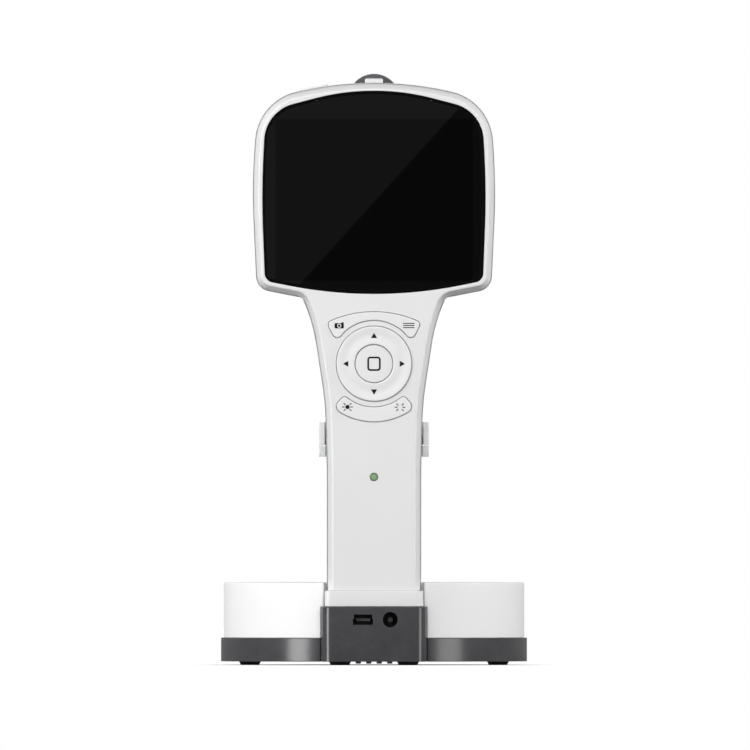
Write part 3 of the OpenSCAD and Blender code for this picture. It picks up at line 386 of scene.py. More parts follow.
# Cover glass of the screen, printed black behind: the mirror-smooth front has an
# anti-reflection coat, and the panel behind shows as a slightly deeper black rectangle
def screenFinish(look, middle):
    finish, tree = startFinish("ink_backed_screen_glass")
    place = addNode(tree, "TexCoord").outputs["Object"]
    centred = addNode(tree, "Mapping", {"Location": [-c * mm for c in middle]},
                      {"Vector": place})
    axes = addNode(tree, "SeparateXYZ", (), {0: centred.outputs[0]})
    within = []
    for axis, size in zip("XZ", look["size"]):
        away = addNode(tree, "Math", {"operation": "ABSOLUTE"}, {0: axes.outputs[axis]})
        within.append(addNode(tree, "MapRange", {"From Min": (size / 2 + look["fade"]) * mm,
                                                 "From Max": (size / 2 - look["fade"]) * mm},
                              {"Value": away.outputs[0]}).outputs[0])
    inside = addNode(tree, "Math", {"operation": "MULTIPLY"}, dict(enumerate(within))).outputs[0]
    smear = addNode(tree, "TexNoise", {"Scale": 1 / (look["smear"] * mm), "Detail": 2.0},
                    {"Vector": place})
    ink = addNode(tree, "Mix", {"data_type": "RGBA", 6: hexColour(look["ink"]),
                                7: hexColour(look["dark"])}, {0: inside})
    gloss = addNode(tree, "MapRange", {"To Min": 0.0, "To Max": look["rough"]},
                    {"Value": smear.outputs["Fac"]})
    sheen = addNode(tree, "MapRange", {"To Min": look["sheen"][0], "To Max": look["sheen"][1]},
                    {"Value": inside})
    shader = addNode(tree, "BsdfPrincipled", {"IOR": 1.5},
                     {"Base Color": ink.outputs[2], "Roughness": gloss.outputs[0],
                      "Specular IOR Level": sheen.outputs[0]})
    addNode(tree, "OutputMaterial", (), {"Surface": shader.outputs[0]})
    return finish


# Green light pipe: frosted acrylic, paler in the middle than at its rim
def lampFinish(look, middle):
    finish, tree = startFinish("frosted_green_light_pipe")
    place = addNode(tree, "TexCoord").outputs["Object"]
    centred = addNode(tree, "Mapping", {"Location": [-c * mm for c in middle]},
                      {"Vector": place})
    axes = addNode(tree, "SeparateXYZ", (), {0: centred.outputs[0]})
    level = addNode(tree, "CombineXYZ", (), {"X": axes.outputs["X"], "Z": axes.outputs["Z"]})
    away = addNode(tree, "VectorMath", {"operation": "LENGTH"}, {0: level.outputs[0]})
    rim = addNode(tree, "MapRange", {"From Min": look["core"] * mm, "From Max": look["glow"] * mm},
                  {"Value": away.outputs["Value"]})
    frost = addNode(tree, "TexNoise", {"Scale": 1 / (0.3 * mm)}, {"Vector": place})
    colour = addNode(tree, "Mix", {"data_type": "RGBA", 6: hexColour(look["middle"]),
                                   7: hexColour(look["outside"])}, {0: rim.outputs[0]})
    bump = addNode(tree, "Bump", {"Strength": 0.1, "Distance": 0.01 * mm},
                   {"Height": frost.outputs["Fac"]})
    shader = addNode(tree, "BsdfPrincipled", {"IOR": 1.49, "Roughness": 0.3},
                     {"Base Color": colour.outputs[2], "Normal": bump.outputs[0]})
    addNode(tree, "OutputMaterial", (), {"Surface": shader.outputs[0]})
    return finish


print("finishes ready")


# Camera, floor and light

coverLow, coverHigh = nodeBox("front_cover")
collarLow, collarHigh = nodeBox("foot_collar")
faceY, footZ = coverLow[1], collarLow[2]

# The camera looks level at the face, tilted down by a hair so that the floor keeps a shadow
shot = {"width": 300.0, "tilt": 0.16, "aimX": 0.4, "aimZ": 116.1, "distance": 1200.0,
        "clip": 10000.0}
cameraData = bpy.data.cameras.new("studio_camera")
cameraData.type = "ORTHO"
cameraData.ortho_scale = shot["width"] * mm
cameraData.clip_end = shot["clip"] * mm
camera = addObject("studio_camera", cameraData)
tilt = math.radians(shot["tilt"])
camera.location = (shot["aimX"] * mm, (faceY - shot["distance"] * math.cos(tilt)) * mm,
                   (shot["aimZ"] + shot["distance"] * math.sin(tilt)) * mm)
camera.rotation_euler = (math.pi / 2 - tilt, 0, 0)
scene.camera = camera
scene.view_settings.view_transform = "Standard"

studio = {"floor": 2400.0, "near": 60.0, "far": 78.0, "pale": "#e8e8e8", "bounce": "#747474",
          "ambient": 0.5, "mirrored": 0.2, "backdropY": 1500.0, "backdropHeight": 2400.0}


# Floor: near the object it is a pale surface that takes the shadow, further out it runs
# into pure white. Light that it throws back on the object stays modest, and gloss looks
# through it, so that the strip cards reach below it.
def floorFinish(look):
    finish, tree = startFinish("studio_floor_paper")
    place = addNode(tree, "TexCoord").outputs["Object"]
    away = addNode(tree, "VectorMath", {"operation": "LENGTH"}, {0: place})
    share = addNode(tree, "MapRange", {"interpolation_type": "SMOOTHSTEP",
                                       "From Min": look["near"] * mm, "From Max": look["far"] * mm},
                    {"Value": away.outputs["Value"]})
    rays = addNode(tree, "LightPath")
    paper = addNode(tree, "BsdfDiffuse", {"Color": hexColour(look["pale"])})
    dim = addNode(tree, "BsdfDiffuse", {"Color": hexColour(look["bounce"])})
    white = addNode(tree, "Emission", {"Strength": 1.0})
    clear = addNode(tree, "BsdfTransparent")
    layers = ((share.outputs[0], white), (rays.outputs["Is Diffuse Ray"], dim),
              (rays.outputs["Is Glossy Ray"], clear))
    seen = paper
    for amount, layer in layers:
        seen = addNode(tree, "MixShader", (), {0: amount, 1: seen.outputs[0], 2: layer.outputs[0]})
    addNode(tree, "OutputMaterial", (), {"Surface": seen.outputs[0]})
    return finish


# Level of the backdrop and the world: white where they are seen directly or through glass,
# and otherwise as bright as the ambient light
def paperLevel(tree, look):
    rays = addNode(tree, "LightPath")
    clear = addNode(tree, "Math", {"operation": "MAXIMUM"},
                    {0: rays.outputs["Is Camera Ray"], 1: rays.outputs["Is Transmission Ray"]})
    hidden = addNode(tree, "MapRange", {"To Min": look["ambient"], "To Max": look["mirrored"]},
                     {"Value": rays.outputs["Is Glossy Ray"]})
    level = addNode(tree, "MapRange", {"To Max": 1.0},
                    {"Value": clear.outputs[0], "To Min": hidden.outputs[0]})
    return level.outputs[0]


def backdropFinish(look):
    finish, tree = startFinish("studio_backdrop_paper")
    paper = addNode(tree, "Emission", (), {"Strength": paperLevel(tree, look)})
    addNode(tree, "OutputMaterial", (), {"Surface": paper.outputs[0]})
    return finish


def stageSheet(name, corners, finish):
    mesh = bpy.data.meshes.new(name)
    mesh.from_pydata([[c * mm for c in p] for p in corners], [], [list(range(len(corners)))])
    mesh.materials.append(finish)
    addObject(name, mesh)


def upright(x0, y0, x1, y1, z0, z1):  # corners of an upright sheet between two points
    return [(x0, y0, z0), (x1, y1, z0), (x1, y1, z1), (x0, y0, z1)]


reach, backdropY = studio["floor"], studio["backdropY"]
stageSheet("studio_floor", [(-reach, -reach, 0), (reach, -reach, 0), (reach, reach, 0),
                            (-reach, reach, 0)], floorFinish(studio))
stageSheet("studio_backdrop", upright(-reach, backdropY, reach, backdropY, 0, studio["backdropHeight"]),
           backdropFinish(studio))

world = bpy.data.worlds.new("studio_world")
scene.world = world
world.use_nodes = True
skyTree = world.node_tree
skyTree.nodes.clear()
sky = addNode(skyTree, "Background", {"Color": (1, 1, 1, 1)}, {"Strength": paperLevel(skyTree, studio)})
addNode(skyTree, "OutputWorld", (), {"Surface": sky.outputs[0]})


def softbox(name, at, aim, size, power):  # a rectangular studio lamp aimed at one point
    data = bpy.data.lights.new(name, "AREA")
    data.shape = "RECTANGLE"
    data.size, data.size_y = size[0] * mm, size[1] * mm
    data.energy = power
    lamp = addObject(name, data)
    lamp.location = [c * mm for c in at]
    way = Vector([c * mm for c in aim]) - lamp.location
    lamp.rotation_euler = way.to_track_quat("-Z", "Y").to_euler()
    lamp.visible_glossy = False


def bearingXY(bearing, away):  # X and Y of a point at a bearing from the front
    return away * math.sin(math.radians(bearing)), -away * math.cos(math.radians(bearing))


# Lamps stand in an arc round the object, each given by its bearing from the front, its
# height, size and power: broad ones light the sides, a narrow pair lights the face
lampAway = 1270
lamps = {"left_edge": (-80, 450, (400, 900), 3.2), "left_key": (-56, 450, (400, 900), 6.6),
         "left_low": (-60, 80, (400, 300), 2.7), "face_left": (-15, 450, (400, 900), 1.7),
         "face_right": (15, 450, (400, 900), 3.6), "right_edge": (80, 450, (400, 900), 7.8)}
for label, (bearing, rise, size, power) in lamps.items():
    softbox(label + "_softbox", (*bearingXY(bearing, lampAway), rise), (0, 0, 110), size, power)
softbox("top_softbox", (0, -100, 1300), (0, 0, 100), (900, 700), 0.6)

# Pale card behind the camera: its slanting edge draws the diagonal sheen on the screen
# and the dark card behind it keeps the rest of the glass black. The strip cards on
# both sides show as bright bands in dark satin surfaces.
sheenCard = {"y": -1700.0, "low": (-30.0, 147.5), "high": (33.6, 217.9), "level": 0.42,
             "below": 160, "above": 120, "topWidth": 260, "footWidth": 160}
darkCard = {"y": -1710.0, "half": 240.0, "low": 60.0, "high": 400.0, "level": 0.02}
stripCards = {"left_strip_card": {"from": -50.0, "to": -66.0, "level": 5.0},
              "right_strip_card": {"from": 48.0, "to": 68.0, "level": 2.6}}
stripAway, stripTop = 1250.0, 700.0


def cardFinish(name, look):  # glows for gloss alone
    finish, tree = startFinish(name)
    rays = addNode(tree, "LightPath")
    clear = addNode(tree, "BsdfTransparent")
    glow = addNode(tree, "Emission", {"Strength": look["level"]})
    mixed = addNode(tree, "MixShader", (), {0: rays.outputs["Is Glossy Ray"],
                                            1: clear.outputs[0], 2: glow.outputs[0]})
    addNode(tree, "OutputMaterial", (), {"Surface": mixed.outputs[0]})
    return finish


cardLow, cardHigh = np.array(sheenCard["low"]), np.array(sheenCard["high"])
slant = unit(cardHigh - cardLow)
cardFoot, cardTop = cardLow - sheenCard["below"] * slant, cardHigh + sheenCard["above"] * slant
sheenCorners = [cardFoot, cardTop, cardTop - [sheenCard["topWidth"], 0],
                cardFoot - [sheenCard["footWidth"], 0]]
stageSheet("sheen_card", [(x, sheenCard["y"], z) for x, z in sheenCorners],
           cardFinish("sheen_card", sheenCard))
for label, card in stripCards.items():
    ends = bearingXY(card["from"], stripAway) + bearingXY(card["to"], stripAway)
    stageSheet(label, upright(*ends, -stripTop, stripTop), cardFinish(label, card))
stageSheet("dark_card", upright(-darkCard["half"], darkCard["y"], darkCard["half"], darkCard["y"],
                                darkCard["low"], darkCard["high"]), cardFinish("dark_card", darkCard))
print("studio ready")


# Handset outlines, from its foot and its front face

shape = {"neckZ": 123.4, "crownR": 137.5, "crownSlope": 12.5, "shoulder": (46.3, 21.3),
         "side": (48.95, 0.536, 250), "jaw": (47.0, 3.6, 6.4), "neck": (28.6, 5.0), "rearNeck": 20,
         "flare": (24.4, 10.4, 70), "waist": (19.6, 41.9, 120), "grip": (18.9, 68.9, 200),
         "wall": 2.2, "plate": 2.2, "parting": 14.0, "seam": 0.1, "lap": 0.2}
height = coverHigh[2] - footZ
collarH = collarHigh[2] - footZ + shape["seam"]
neckZ = shape["neckZ"]
headRise = height - neckZ


def slopeTop(rise, radius, slope):  # height of the corner whose arc peaks at rise
    return rise + radius * (1 / math.cos(math.radians(slope)) - 1)


def climb(run, slope):  # rise of a straight slope over a level distance
    return run * math.tan(math.radians(slope))


def raised(corners):  # corners given from the foot, set at their real height
    return [(c[0], c[1] + footZ) + tuple(c[2:]) for c in corners]


crownZ = slopeTop(height, shape["crownR"], shape["crownSlope"])
shoulderX, shoulderR = shape["shoulder"]
sideX, sideShare, sideR = shape["side"]
jawX, jawRise, jawR = shape["jaw"]
neckX, neckR = shape["neck"]
headTop = [(0, crownZ, shape["crownR"], 40),
           (shoulderX, crownZ - climb(shoulderX, shape["crownSlope"]), shoulderR, 32),
           (sideX, neckZ + sideShare * headRise, sideR, 20), (jawX, neckZ + jawRise, jawR, 20)]
flare = [(shape[k][0], neckZ - shape[k][1], shape[k][2], 14) for k in ("flare", "waist", "grip")]
gripFoot = [(shape["grip"][0], collarH, 0, 0)]
coverLoop = mirroredLoop(raised(headTop + [(neckX, neckZ, neckR, 16)] + flare + gripFoot))
headLoop = mirroredLoop(raised(headTop + [(neckX, neckZ, shape["rearNeck"], 8), (0, neckZ, 0, 0)]))
gripLoop = mirroredLoop(raised([(neckX, neckZ - shape["lap"], 0, 0)] + flare + gripFoot))

nose = {"top": 2.0, "height": 73.0, "half": 31.0, "slope": 5.0, "start": 84.0, "end": 114.0,
        "barrel": 44.0, "inset": 1.5, "drop": 2, "rise": 1.5, "corner": 14, "bulge": 340,
        "footRise": 0.4, "foot": 20, "rim": 0.9}
noseTop = height - nose["top"]
noseLow = noseTop - nose["height"]
windowZ = noseTop - nose["height"] / 2
noseLoop = mirroredLoop(raised([
    (0, slopeTop(noseTop, shape["crownR"], nose["slope"]), shape["crownR"], 40),
    (nose["half"] - nose["inset"], noseTop - nose["drop"], nose["corner"], 32),
    (nose["half"], windowZ, nose["bulge"], 20),
    (nose["half"] - nose["inset"], noseLow + nose["rise"], nose["corner"], 20),
    (nose["half"] / 2, noseLow + nose["footRise"], nose["foot"], 8), (0, noseLow, 0, 0)]))

screen = {"rise": 1.8, "gap": 3.3, "low": (177, 11.2), "top": (93.7, 14.65), "opening": 0.2,
          "shoulder": (43.0, 15.25), "side": (44.9, 0.521, 360), "jaw": (43.45, 3.6)}
lowR, lowSlope = screen["low"]
topR, topSlope = screen["top"]
shoulderX, shoulderR = screen["shoulder"]
sideX, sideShare, sideR = screen["side"]
jawX, jawR = screen["jaw"]
screenLow = slopeTop(neckZ + screen["rise"], -lowR, lowSlope)
screenTop = slopeTop(height - screen["gap"], topR, topSlope)
screenLoop = mirroredLoop(raised([
    (0, screenTop, topR, 32), (shoulderX, screenTop - climb(shoulderX, topSlope), shoulderR, 28),
    (sideX, neckZ + sideShare * headRise, sideR, 20),
    (jawX, screenLow + climb(jawX, lowSlope), jawR, 16), (0, screenLow, lowR, 32)]))
openingLoop = insetLoop(screenLoop, -screen["opening"])

nav = {"drop": 26.3, "outer": 15.0, "inner": 7.5, "gap": 0.25, "keyProud": 0.4, "lampZ": 51.8,
       "lampR": 1.6, "lampGap": 0.1}
navZ = footZ + neckZ - nav["drop"]
lampZ = footZ + nav["lampZ"]

# Curved keys: an arc as (radius, rise of its centre, first and last angle, steps), the two
# rounded corners of the end, and the arc that leads back
captureShape = {"first": (43, -22.3, 0, 23.1, 24), "end": (18.8, 16.4, 1.7, 12),
                "toe": (14.9, 8.6, 1.9, 12), "last": (17.4, 0, 47.5, 0, 32)}
lightShape = {"first": (17.4, 0, 180, 143.5, 28), "end": (11.9, -12.75, 1.6, 12),
              "toe": (15.85, -17.1, 2.5, 14), "last": (25.8, 2.6, 147.5, 180, 24)}


def sweepArc(radius, rise, first, last, steps):  # arc on the axis of the ring, angles from the top
    angle = np.radians(np.linspace(first, last, steps + 1))
    return np.stack([radius * np.sin(angle), rise + radius * np.cos(angle)], axis=1)


def curvedKey(look):
    first, last = sweepArc(*look["first"]), sweepArc(*look["last"])
    end, toe = look["end"], look["toe"]
    return withMirror(np.concatenate([first, cornerArc(first[-1], end, toe),
                                      cornerArc(end, toe, last[0]), last])) + [0, navZ]


captureLoop, lightLoop = curvedKey(captureShape), curvedKey(lightShape)


def insetFlat(loop, d):  # parallel curve whose flat ends keep their height
    moved, level = insetLoop(loop, d), loop[:, 1]
    flat = level < level.min() + 0.01
    if loop is gripLoop:
        flat |= level > level.max() - 0.01
    moved[flat, 1] = level[flat]
    return moved


# Surface that runs round an outline: each row is the outline moved in by the profile's
# first number and set back from the face by its second
def rimSkin(loop, profile, base=faceY, closed=False):
    return skinLoops(ringStack(loop, profile, alongY, base), closed)


print("outlines ready")

# Front cover

coverEdge = {"flat": 2.82, "face": 2.27, "crease": 0.72, "slantX": 0.65, "slantY": 5.5, "turn": 5.0,
             "bendY": 9.0, "bend": 6, "lip": 0.22, "keyLip": 0.12, "back": 0.36, "ring": 0.03,
             "inside": (2.6, 5.5), "insidePlate": 2.9}
wall, plate, parting = shape["wall"], shape["plate"], shape["parting"]
outerEdge = openPath([(coverEdge["flat"], 0), (coverEdge["face"], 0, coverEdge["crease"], 8),
                      (coverEdge["slantX"], coverEdge["slantY"], coverEdge["turn"], 8),
                      (coverEdge["back"], coverEdge["bendY"], coverEdge["bend"], 6),
                      (coverEdge["back"], parting)])
innerEdge = [(wall, parting), coverEdge["inside"], (coverEdge["insidePlate"], plate)]
coverRings = ([insetFlat(coverLoop, d) for d, _ in outerEdge]
              + [insetLoop(coverLoop, d) for d, _ in innerEdge])
coverDepths = [faceY + t for _, t in [*outerEdge, *innerEdge]]
keyLip = coverEdge["keyLip"]
wells = [(openingLoop, coverEdge["lip"]),
         (circleLoop(nav["outer"] + nav["gap"], (0, navZ), 128), keyLip),
         (insetLoop(captureLoop, -nav["gap"]), keyLip), (insetLoop(lightLoop, -nav["gap"]), keyLip),
         (circleLoop(nav["lampR"] + nav["lampGap"], (0, lampZ), 48), keyLip)]
wellSkins, faceLoops, backLoops = [], [], []
for loop, lip in wells:  # each opening gets a rounded lip and a wall down to the plate's back
    lipRing = -lip - coverEdge["ring"]
    wellSkins.append(rimSkin(loop, openPath([(lipRing, 0), (0, 0, lip, 5), (0, plate)])))
    faceLoops.append(insetLoop(loop, lipRing))
    backLoops.append(loop)
makePiece("front_cover_moulding", [
    skinLoops(stacked(coverRings, coverDepths, alongY)),
    fillLoops([coverRings[0]] + faceLoops, alongY, faceY),
    fillLoops([coverRings[-1]] + backLoops, alongY, faceY + plate)] + wellSkins, whiteAbs,
    "handset", ["front_cover"])

# Screen

glass = {"gasket": 0.8, "gap": 0.1, "depth": 0.15, "thick": 1.8, "edge": 0.15}
gasket = {"out": 0.16, "depth": 0.1, "chamfer": 0.1}
panel = {"ink": "#0a0a0a", "dark": "#060606", "size": (79.0, 64.8), "low": 0.2, "fade": 0.2,
         "smear": 30, "rough": 0.012, "sheen": (0.18, 0.13)}
glassLoop = insetLoop(screenLoop, glass["gasket"] + glass["gap"])
glassEdge = openPath([(glass["edge"] + ledge, glass["depth"]), (0, glass["depth"], glass["edge"], 4),
                      (0, glass["depth"] + glass["thick"])])
lcdLow, lcdHigh = nodeBox("lcd_panel")
panelMiddle = (0, 0, (lcdLow[2] + lcdHigh[2]) / 2 - panel["low"])
makePiece("screen_glass", prism(glassLoop, glassEdge, alongY, faceY), screenFinish(panel, panelMiddle),
          "handset", ["display_glass"])
out, inner = -gasket["out"], glass["gasket"]
front, bevel = gasket["depth"], gasket["chamfer"]
gasketEdge = [(out, plate), (out, front + bevel), (out + bevel, front), (inner - bevel, front),
              (inner, front + bevel), (inner, plate)]
makePiece("screen_gasket", [rimSkin(screenLoop, gasketEdge, closed=True)], gasketRubber, "handset",
          ["display_gasket"])
print("cover and screen ready")


# Rear shells

# Head: the outline eases from the full head to the nose along the depth, as the smooth
# step 3t^2 - 2t^3 of the way between them
def headAt(depth, d=0.0):
    t = min(max((depth - nose["barrel"]) / (nose["start"] - nose["barrel"]), 0), 1)
    share = t * t * (3 - 2 * t)
    return insetLoop(headLoop * (1 - share) + noseLoop * share, d)


powerKey = {"tilt": 9.9, "depth": 28.0, "length": 11.0, "width": 5.0, "round": 2.4, "proud": 0.6,
            "edge": 0.35, "gap": 0.25, "below": 6, "above": 4, "stem": 0.9, "skirt": 1, "skirtFrom": 1.5,
            "skirtTo": 0.7}
railSlot = {"clear": 0.2, "height": 14, "rise": 6.9, "corner": 0.01, "before": 0.1, "beyond": 2}


# Sets a flat shape on the crown: it is turned about the crown's centre towards the left
def onCrown(surface):
    points, faces = surface
    c, s = math.cos(math.radians(powerKey["tilt"])), -math.sin(math.radians(powerKey["tilt"]))
    x, z = points[:, 0], points[:, 2] + shape["crownR"]
    return np.stack([x * c + z * s, points[:, 1] + faceY + powerKey["depth"],
                     -x * s + z * c + footZ + height - shape["crownR"]], axis=1), faces


def powerPlan(by=0.0):  # plan of the power key, made larger on every side
    return boxLoop(powerKey["length"] + 2 * by, powerKey["width"] + 2 * by, powerKey["round"] + by)


railLow, railHigh = nodeBox("forehead_rail")
# Shadow line: the rear shells start a little wider than the cover, with a narrow groove
# between the two
shadowLine = [(d, parting + t) for d, t in ((0.5, 0.1), (0.46, 1.2), (0.14, 1.2), (0.08, 0.2),
                                            (0, 0.3))]
headRows = shadowLine + [(0, t) for t in np.linspace(20, nose["barrel"], 4)]
blendRows = np.linspace(nose["barrel"], nose["start"], 28)[1:]
frontRim = openPath([(0, nose["end"] - 3), (0, nose["end"], nose["rim"], 6), (wall, nose["end"])])
innerRows = [*blendRows[::-1], nose["barrel"], parting + shape["seam"]]
headRings = ([insetLoop(headLoop, d) for d, _ in headRows] + [headAt(t) for t in blendRows]
             + [headAt(nose["end"], d) for d, _ in frontRim] + [headAt(t, wall) for t in innerRows])
headDepths = [t for _, t in headRows] + [*blendRows] + [t for _, t in frontRim] + innerRows
headShell = makePiece("head_rear_moulding", [
    skinLoops(stacked(headRings, [faceY + t for t in headDepths], alongY), closed=True)], whiteAbs,
    "handset", ["head_rear_shell"])
slotLoop = boxLoop(railHigh[0] - railLow[0] + railSlot["clear"], railSlot["height"],
                   railSlot["corner"], (0, railLow[2] + railSlot["rise"]), 1)
slotEnds = [(0, railLow[1] - railSlot["before"]), (0, faceY + nose["end"] + railSlot["beyond"])]
hole = merged(prism(powerPlan(powerKey["gap"]), [(0, -powerKey["below"]), (0, powerKey["above"])], alongZ))
cutOut(headShell, [merged(prism(slotLoop, slotEnds, alongY)), onCrown(hole)])

gripBack = {"depth": 42.5, "round": 12.0, "straight": 22, "screws": (13.3, (14.4, 39.8)),
            "screwR": 2.2, "screwFrom": 30, "holeR": 2.5, "holeFrom": 36, "cutTo": 45}
turns = np.radians(np.linspace(0, 90, 16))
backR, backY = gripBack["round"], gripBack["depth"] - gripBack["round"]
innerR = backR - wall
outerGrip = shadowLine + [(0, gripBack["straight"])] + [
    (backR * (1 - math.cos(a)), backY + backR * math.sin(a)) for a in turns]
innerGrip = [(wall + innerR * (1 - math.cos(a)), backY + innerR * math.sin(a))
             for a in turns[::-1]] + [(wall, parting + shape["seam"])]
gripRings = ([insetFlat(gripLoop, d) for d, _ in outerGrip]
             + [insetLoop(gripLoop, d) for d, _ in innerGrip])
gripDepths = [faceY + t for _, t in outerGrip + innerGrip]
capRow = len(outerGrip)
gripMask = np.ones((len(gripRings), len(gripLoop)), bool)
gripMask[capRow - 1] = False
triggerLow, triggerHigh = nodeBox("trigger")
triggerZ = (triggerLow[2] + triggerHigh[2]) / 2
screwX, screwRises = gripBack["screws"]
gripShell = makePiece("grip_rear_moulding", [
    skinLoops(stacked(gripRings, gripDepths, alongY), closed=True, mask=gripMask),
    fillLoops([gripRings[capRow - 1]], alongY, faceY + gripBack["depth"]),
    fillLoops([gripRings[capRow]], alongY, gripDepths[capRow])], whiteAbs, "handset",
    ["grip_rear_shell"])
screwHoles = [plug(gripBack["screwR"], gripBack["screwFrom"], gripBack["cutTo"],
                   (s * screwX, faceY, footZ + z)) for s in (-1, 1) for z in screwRises]
cutOut(gripShell, screwHoles + [plug(gripBack["holeR"], gripBack["holeFrom"], gripBack["cutTo"],
                                     (0, faceY, triggerZ))])
print("rear shells ready")

# Foot collar

collar = {"edge": 0.45, "foot": 0.25, "front": 2.6, "back": 12.0, "recess": 3.4, "recessW": 24.0,
          "recessL": 12.0, "recessR": 0.6}
collarLoop = roundedLoop([(collarLow[0], collarHigh[1], collar["back"], 18),
                          (collarHigh[0], collarHigh[1], collar["back"], 18),
                          (collarHigh[0], collarLow[1], collar["front"], 12),
                          (collarLow[0], collarLow[1], collar["front"], 12)])
collarFlat = collar["edge"] + ledge
collarProfile = openPath([(collarFlat, collarLow[2]), (0, collarLow[2], collar["foot"], 5),
                          (0, collarHigh[2], collar["edge"], 8), (collarFlat, collarHigh[2])])
pinLow, pinHigh = nodeBox("contact_pins")
pinMiddle = (0, (pinLow[1] + pinHigh[1]) / 2)
recessLoop = boxLoop(collar["recessW"], collar["recessL"], collar["recessR"], pinMiddle)
recessTop = collarLow[2] + collar["recess"]
collarCap = insetLoop(collarLoop, collarFlat)
makePiece("foot_collar_moulding", [
    skinLoops(ringStack(collarLoop, collarProfile, alongZ)),
    fillLoops([collarCap], alongZ, collarHigh[2]), fillLoops([collarCap, recessLoop], alongZ, collarLow[2]),
    skinLoops(stacked([recessLoop, recessLoop], [collarLow[2], recessTop], alongZ)),
    fillLoops([recessLoop], alongZ, recessTop)], whiteAbs, "handset", ["foot_collar"])

# Dock

dockLow, dockHigh = nodeBox("dock_top_cover")
towerLow, towerHigh = nodeBox("dock_tower")
coverR, skirtR = dockHigh[0], nodeBox("dock_base_tray")[1][0]


# Round plan with a notch at the front, clockwise from the back: a big arc, a small fillet
# into the notch's side, a rounded inner corner, and the mirror image
def notchedPlan(radius, half, back, fillet=0.5, corner=1.0, steps=150):
    middle = np.array([half + fillet, -math.sqrt((radius - fillet) ** 2 - (half + fillet) ** 2)])
    touch = math.atan2(middle[1], middle[0])
    big = np.linspace(math.pi / 2, touch, steps)
    small = np.linspace(touch, -math.pi, 12)[1:]
    return withMirror(np.concatenate([
        radius * np.stack([np.cos(big), np.sin(big)], axis=1),
        middle + fillet * np.stack([np.cos(small), np.sin(small)], axis=1),
        cornerArc((half, middle[1]), (half, back, corner, 8), (0, back)), [[0, back]]]))


dockCover = {"round": 0.6, "rim": 4, "pocket": (20.1, -17.6), "low": (21.1, -17.9), "step": 23.45,
             "notchEdge": 0.3}


def coverPlan(half, back, d=0.0):  # the notch's own edges are crisper than the rim
    crisp = d * dockCover["notchEdge"] / dockCover["round"]
    return notchedPlan(coverR - d, half + crisp, back - crisp)


lower, upper = coverPlan(*dockCover["low"]), coverPlan(*dockCover["pocket"])
topEdge = openPath([(0, dockHigh[2] - dockCover["rim"]), (0, dockHigh[2], dockCover["round"], 10),
                    (dockCover["round"] + ledge, dockHigh[2])])
topRings = [lower, lower, upper] + [coverPlan(*dockCover["pocket"], d) for d, _ in topEdge]
topHeights = [dockLow[2], dockCover["step"], dockCover["step"]] + [t for _, t in topEdge]
# The cover takes the white ABS painted lighter, as painted light on the dock's wings
makePiece("dock_cover_moulding", [
    skinLoops(stacked(topRings, topHeights, alongZ)), fillLoops([topRings[-1]], alongZ, dockHigh[2]),
    fillLoops([lower], alongZ, dockLow[2])], whiteAbsPaintedLighter, "dock", ["dock_top_cover"])

skirt = {"edge": 0.35, "gap": 0.15, "top": 10.9, "tongueIn": 5, "tongueR": 1.5, "tongue": 2.2}
skids = {"x": (-6.3, -2.1, 2.1, 6.3), "width": 2.2, "from": 3.0, "to": 12.0, "drop": 0.8,
         "round": 0.6, "edge": 0.35, "ring": 0.4, "sunk": 0.3}
plan = notchedPlan(skirtR, towerHigh[0] + skirt["gap"], towerHigh[1] + skirt["gap"])
skirtBottom = towerLow[2]
skirtFlat = skirt["edge"] + ledge
skirtEdge = openPath([(skirtFlat, skirtBottom), (0, skirtBottom, skirt["edge"], 5),
                      (0, skirt["top"], skirt["edge"], 5), (skirtFlat, skirt["top"])])
towerMiddle = (0, (towerHigh[1] + towerLow[1]) / 2)
tongueLoop = boxLoop(2 * towerHigh[0] - skirt["tongueIn"],
                     towerHigh[1] - towerLow[1] - skirt["tongueIn"], skirt["tongueR"], towerMiddle)
skidFoot = skirtBottom - skids["drop"]
skidEdge = openPath([(skids["ring"], skidFoot), (0, skidFoot, skids["edge"], 4),
                     (0, skirtBottom + skids["sunk"])])
skidParts = []
for x in skids["x"]:
    skidParts += prism(boxLoop(skids["width"], skids["to"] - skids["from"], skids["round"],
                               (x, towerLow[1] + (skids["to"] + skids["from"]) / 2)), skidEdge, alongZ)
tongue = prism(tongueLoop, [(0, skirtBottom), (0, skirtBottom + skirt["tongue"])], alongZ)
makePiece("dock_skirt_moulding", prism(plan, skirtEdge, alongZ) + tongue + skidParts, graphite,
          "dock", ["dock_base_tray"])

# Sockets in the tower: the data opening's outline is given in shares of its width and height
tower = {"corner": 5.0, "edge": 0.4, "foot": 0.2, "wall": 2.2, "roof": 1.5, "portEdge": 0.12,
         "drop": 5.1, "data": (-4.4, 8.1, 4.1), "power": (6.5, 3.05), "well": (22.2, 10.2, 0.3)}
dataHalf = [(-0.5, -0.5, 0.25), (-0.5, 0.05, 0.25), (-0.455, 0.13, 0.2), (-0.455, 0.5, 0.3)]
dataCorners = dataHalf + [(-a, b, r) for a, b, r in dataHalf[::-1]]
dataX, dataW, dataH = tower["data"]
powerX, powerR = tower["power"]
portZ = towerHigh[2] - tower["drop"]
dataLoop = roundedLoop([(dataX + a * dataW, portZ + b * dataH, r, 4) for a, b, r in dataCorners])
portLoops = [dataLoop, circleLoop(powerR, (powerX, portZ), 64)]
towerWide, towerLong = 2 * towerHigh[0], towerHigh[1] - towerLow[1]
towerLoop = boxLoop(towerWide, towerLong, tower["corner"], towerMiddle, 16)
inner = boxLoop(2 * (towerHigh[0] - tower["wall"]), towerLong - 2 * tower["wall"],
                tower["corner"] - tower["wall"], towerMiddle, 16)
towerFlat = tower["edge"] + ledge
towerProfile = openPath([(towerFlat, towerLow[2]), (0, towerLow[2], tower["foot"], 4),
                         (0, towerHigh[2], tower["edge"], 6), (towerFlat, towerHigh[2])])
